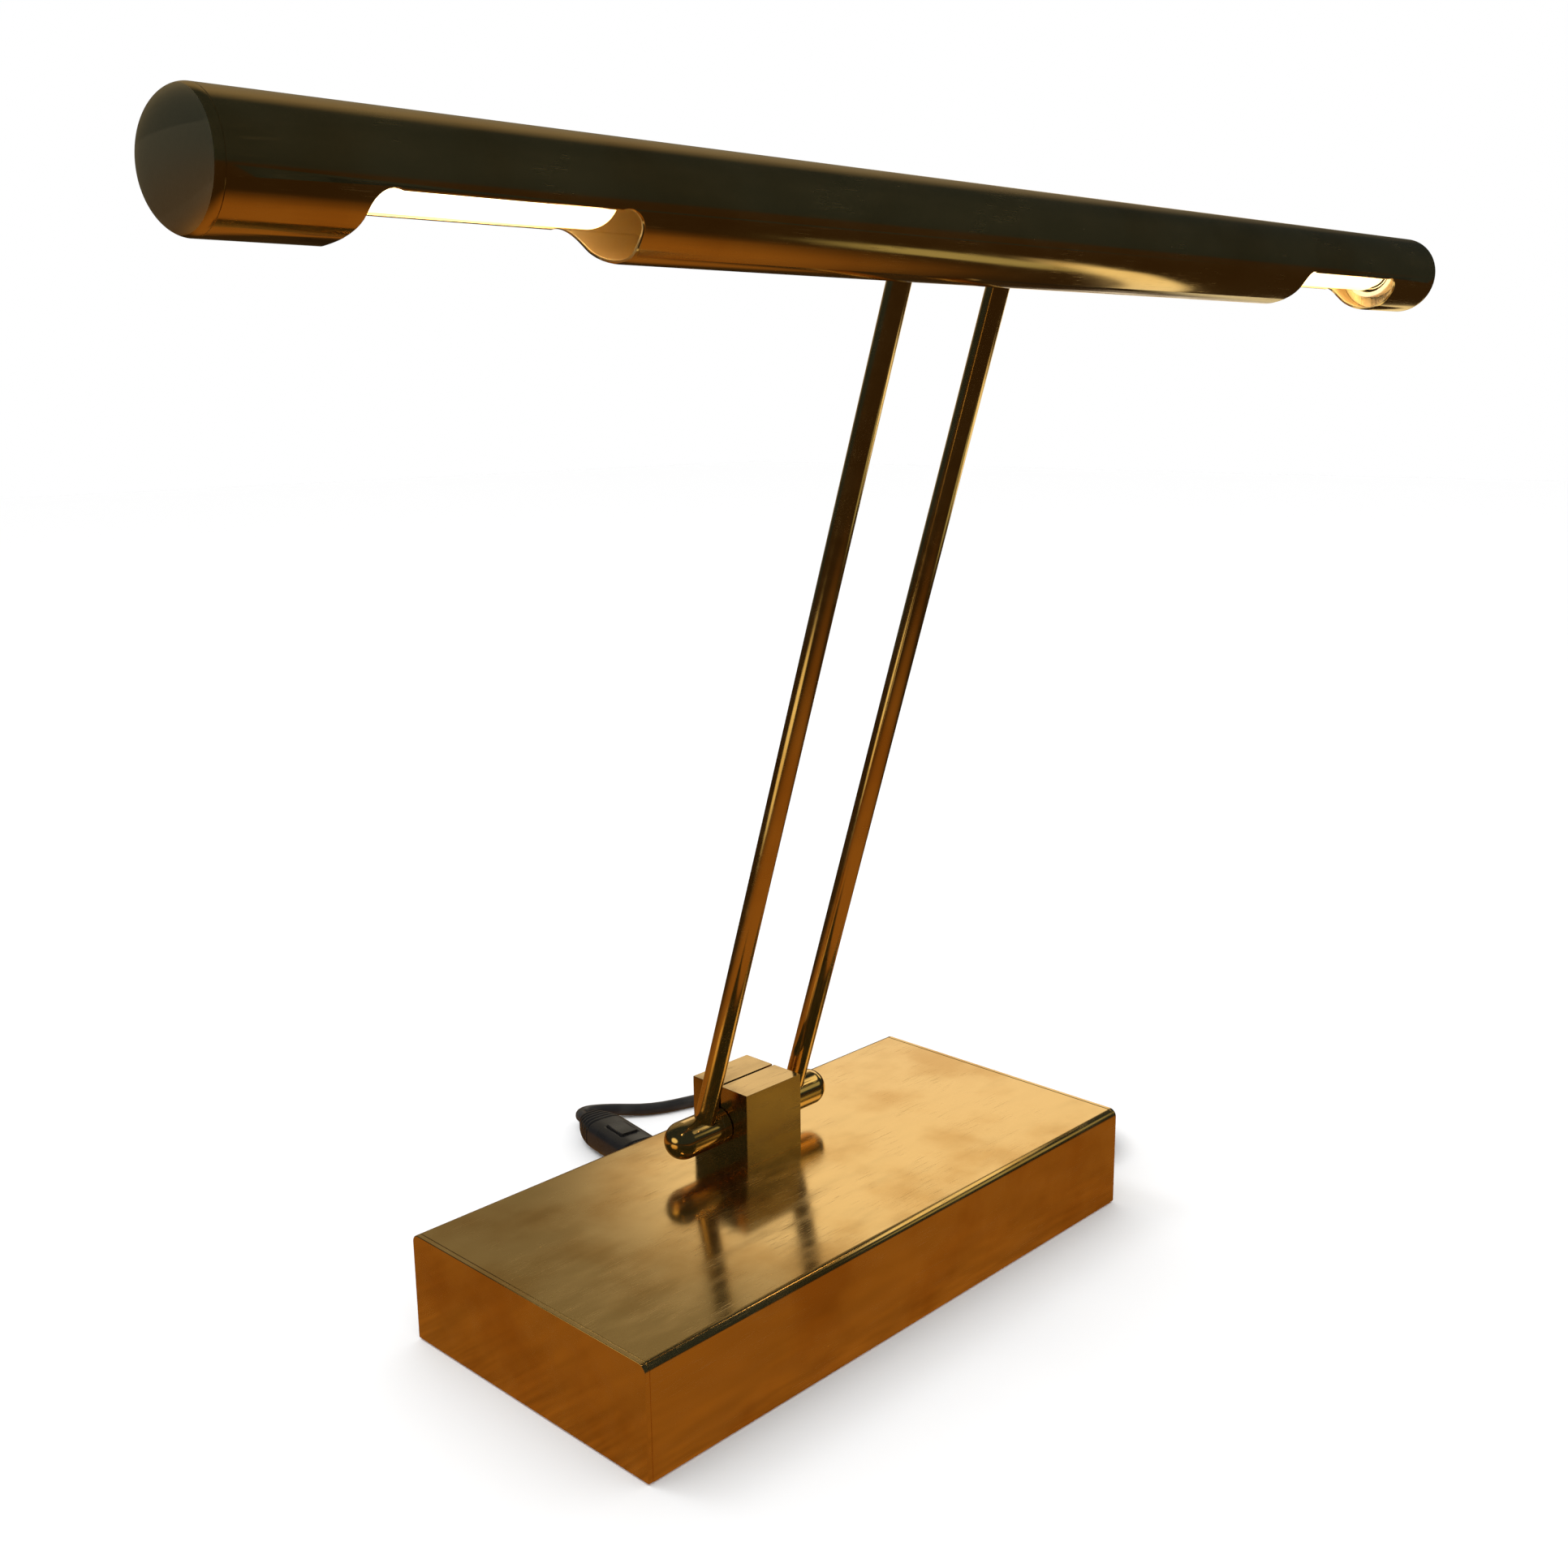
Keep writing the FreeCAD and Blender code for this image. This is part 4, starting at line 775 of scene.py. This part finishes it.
def plug_grip_loops(face_x):
    """The plug's body from its pin face, with grooves for the fingers."""
    loops = []
    for i in range(PLUG_STEPS + 1):
        share = i / PLUG_STEPS
        along = PLUG_BODY * share
        end = min(1.0, along / PLUG_EDGE)
        edge = PLUG_FACE_SHARE + (1 - PLUG_FACE_SHARE) * math.sqrt(1 - (1 - end) ** 2)
        taper = 1 - PLUG_TAPER * share ** 3
        grip = 0.0
        if along > GRIP_START:
            grip = GRIP_DEPTH * max(0.0, math.sin((along - GRIP_START) / GRIP_PITCH * 2 * math.pi))
        half_width = plug_half_width(along) * edge - grip
        half_height = PLUG_THICKNESS / 2 * edge * taper - grip
        loops.append(plug_loop(face_x + along, rounded_section(half_width, half_height, PLUG_SQUARENESS)))
    return loops


def plug_relief_loops(root_x):
    """The ribbed cone that the cord leaves the plug by."""
    loops = [plug_loop(root_x + SHOULDER_BACK, rounded_section(*SHOULDER, SHOULDER_SQUARENESS))]
    steps = PLUG_RIBS * STEPS_PER_RIB
    for i in range(steps + 1):
        share = i / steps
        radius = PLUG_RELIEF_ROOT + (PLUG_RELIEF_TIP - PLUG_RELIEF_ROOT) * share
        radius -= GRIP_DEPTH * max(0.0, math.sin(share * PLUG_RIBS * 2 * math.pi)) ** 0.5
        x = root_x + PLUG_RELIEF_START + share * (PLUG_RELIEF - PLUG_RELIEF_START)
        loops.append(plug_loop(x, rounded_section(radius, radius, ROUND)))
    return loops


def pin_sleeve(name, side, face_x):
    """The insulating sleeve at the root of a pin."""
    outline = (
        (0, SLEEVE_EDGE), (1, SLEEVE_EDGE), (1, SLEEVE_EDGE - PIN_SLEEVE),
        (SLEEVE_TIP_SHARE, -PIN_SLEEVE), (0, -PIN_SLEEVE),
    )
    loops = []
    for share, x in outline:
        radius = max(LEAST_SHARE, share) * (PIN_DIAMETER / 2 + SLEEVE_OVER)
        section = rounded_section(radius, radius, ROUND, count=24)
        loops.append(plug_loop(face_x + x, section, side * PIN_SPREAD / 2))
    return loft(name, loops, BLACK_PLASTIC, "base")


def plug_body():
    root_x = PLUG_START.x - PLUG_RELIEF
    face_x = root_x - PLUG_BODY
    loops = plug_grip_loops(face_x) + plug_relief_loops(root_x)
    body = loft("moulded_plug", loops, BLACK_PLASTIC, "base")
    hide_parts("plug_body")
    return [body, pin_sleeve("pin_sleeve_front", -1, face_x), pin_sleeve("pin_sleeve_rear", 1, face_x)]


# Tie: a strap round the hank's waist

TIE_WIDTH = 10 * MM
TIE_THICKNESS = 0.8 * MM
TIE_GAP = 0.3 * MM
TIE_SAG = 0.05 * MM
TIE_EDGE = 0.2 * MM
TIE_SQUARENESS = 7


def cord_tie():
    outer = HANK_FOLD + 1.5 * HANK_PITCH - HANK_WAIST + CORD / 2 + TIE_GAP
    low = HANK_LOW - CORD / 2 - TIE_SAG
    high = low + CORD + HANK_STEP + TIE_GAP
    middle_y = (HANK_FAR_Y + HANK_NEAR_Y) / 2
    loops = []
    for grow, shift in ((0, -1), (TIE_THICKNESS, -1), (TIE_THICKNESS, 1), (0, 1)):
        section = rounded_section(outer + grow, (high - low) / 2 + grow, TIE_SQUARENESS, count=64)
        y = middle_y + shift * TIE_WIDTH / 2
        loops.append([Vector((HANK_X + across, y, (low + high) / 2 + up)) for across, up in section])
    strap = loft("cord_strap", loops, BLACK_RUBBER, "base", closed=True)
    bevelled(strap, TIE_EDGE)
    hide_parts("cord_tie")
    return strap


strain_relief()
switch = switch_body()
plug_pieces = plug_body()
strap = cord_tie()

dress(cord, SHEATH)
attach(cord, "base")
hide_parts("cord_lead", "cord_run", "cord_hank", "cord_tail")


# Studio: white floor and soft light. Reflections alone see a dark room, a brown table top painted into the
# floor as a glow, and the screens.

ROOM_DARK = (0.017, 0.023, 0.024)
ROOM_OLIVE = (0.20, 0.17, 0.11)
TABLE_NEAR = (0.30, 0.125, 0.020)
TABLE_FAR = (0.030, 0.017, 0.006)
# Distances over which the painted table top fades to dark: painted falloff of light
TABLE_PAINTED_FALLOFF = (0.20, 0.52)
FLOOR_SIDE = 12
OLIVE_WAY = (0.45, 0.76, 0.47)

# Name, place, width and height, colour
SCREENS = (
    ("screen_behind", (0.68, 0.45, 0.39), (0.84, 0.50), (1.00, 0.87, 0.66)),
    ("screen_front", (0.27, -0.23, 0.16), (0.22, 0.12), (0.34, 0.32, 0.17)),
    ("screen_above", (0.24, -0.09, 0.26), (0.28, 0.12), (1.00, 0.88, 0.56)),
    ("screen_side", (0.70, 0.08, 0.24), (0.30, 0.26), (0.90, 0.78, 0.46)),
    ("screen_left", (-0.30, 0.06, 0.12), (0.26, 0.15), (0.90, 0.76, 0.42)),
)
SCREEN_AIM = Vector((0, 0, 0.06))


def room():
    """White for everything but reflections, which see a dark room that is a little olive behind the lamp."""
    world = bpy.data.worlds.new("studio")
    world.use_nodes = True
    tree = world.node_tree
    tree.nodes.clear()
    ray = add(tree, "TexCoord").outputs["Generated"]
    towards = add(tree, "VectorMath", {0: ray, 1: OLIVE_WAY}, operation="DOT_PRODUCT").outputs["Value"]
    seen = mixed(tree, ramp(tree, towards, 0.72, 0.96), ROOM_DARK, ROOM_OLIVE)
    reflected = add(tree, "Background", {"Color": seen, "Strength": 1.0}).outputs[0]
    soft = add(tree, "Background", {"Color": (1, 1, 1, 1), "Strength": 1.0}).outputs[0]
    glossy = add(tree, "LightPath").outputs["Is Glossy Ray"]
    both = add(tree, "MixShader", {0: glossy, 1: soft, 2: reflected}).outputs[0]
    add(tree, "OutputWorld", {"Surface": both})
    bpy.context.scene.world = world


def flat_piece(name, width, height):
    mesh = bpy.data.meshes.new(name)
    x, y = width / 2, height / 2
    mesh.from_pydata([(-x, -y, 0), (x, -y, 0), (x, y, 0), (-x, y, 0)], [], [(0, 1, 2, 3)])
    piece = bpy.data.objects.new(name, mesh)
    bpy.context.scene.collection.objects.link(piece)
    return piece


def floor():
    """White in itself. Reflections alone see it glow as a painted brown table top: a painted reflection,
    painted darker away from the lamp.
    """
    ground = flat_piece("floor", FLOOR_SIDE, FLOOR_SIDE)
    made, shader = material("floor", (0.92, 0.92, 0.92), 0.9)
    tree = made.node_tree
    where = place(tree)
    grain = noise(tree, where, 320, 5.0, (0.12, 1, 1), 0.5)
    far = add(tree, "VectorMath", {0: where}, operation="LENGTH").outputs["Value"]
    wood = mixed(tree, ramp(tree, grain, 0.3, 0.7), tuple(c * 0.72 for c in TABLE_NEAR), TABLE_NEAR)
    # Painted falloff of light: the painted table top darkens away from the lamp
    seen = mixed(tree, ramp(tree, far, *TABLE_PAINTED_FALLOFF), wood, TABLE_FAR)
    # A glow that only reflections see: the painted reflection of a lit table top
    reflected = add(tree, "Emission", {"Color": seen, "Strength": 1.0}).outputs[0]
    glossy = add(tree, "LightPath").outputs["Is Glossy Ray"]
    both = add(tree, "MixShader", {0: glossy, 1: shader.outputs[0], 2: reflected}).outputs[0]
    tree.links.new(both, tree.nodes["Material Output"].inputs["Surface"])
    ground.data.materials.append(made)


def screen(name, place_at, extent, colour):
    """A bright card with soft edges that only reflections see."""
    card = flat_piece(name, *extent)
    card.location = place_at
    card.rotation_euler = (SCREEN_AIM - Vector(place_at)).to_track_quat("Z", "Y").to_euler()
    made = bpy.data.materials.new(name)
    made.use_nodes = True
    tree = made.node_tree
    tree.nodes.clear()
    scaled = tuple(2 / side for side in extent)
    spot = add(tree, "VectorMath", {0: place(tree), 1: (*scaled, 0)}, operation="MULTIPLY").outputs[0]
    out = add(tree, "VectorMath", {0: spot}, operation="LENGTH").outputs["Value"]
    glow = add(tree, "Emission", {"Color": (*colour, 1), "Strength": 1.0}).outputs[0]
    clear = add(tree, "BsdfTransparent").outputs[0]
    both = add(tree, "MixShader", {0: ramp(tree, out, 0.55, 1.0), 1: glow, 2: clear}).outputs[0]
    add(tree, "OutputMaterial", {"Surface": both})
    card.data.materials.append(made)
    card.visible_camera = False
    card.visible_diffuse = False
    card.visible_shadow = False
    card.visible_transmission = False


def lamp(name, kind, place_at, aim, power, colour, width):
    """A light that reflections don't see. Its width is an angle for a sun and a diameter for a disk."""
    data = bpy.data.lights.new(name, kind)
    data.energy = power
    data.color = colour
    if kind == "SUN":
        data.angle = width
    else:
        data.shape = "DISK"
        data.size = width
    made = bpy.data.objects.new(name, data)
    made.location = place_at
    made.rotation_euler = (Vector(aim) - Vector(place_at)).to_track_quat("-Z", "Y").to_euler()
    made.visible_glossy = False
    bpy.context.scene.collection.objects.link(made)


room()
floor()
for settings in SCREENS:
    screen(*settings)
lamp("soft_sun", "SUN", place_at=(-0.4, 0.3, 2.0), aim=(0, 0, 0), power=0.55, colour=(1, 1, 1),
     width=math.radians(40))
lamp("window_light", "AREA", place_at=(-0.5, 0.9, 1.5), aim=(0, 0, 0.1), power=4,
     colour=(0.93, 0.96, 1.0), width=0.5)
bpy.context.scene.view_settings.view_transform = "Standard"
bpy.context.scene.view_settings.look = "None"
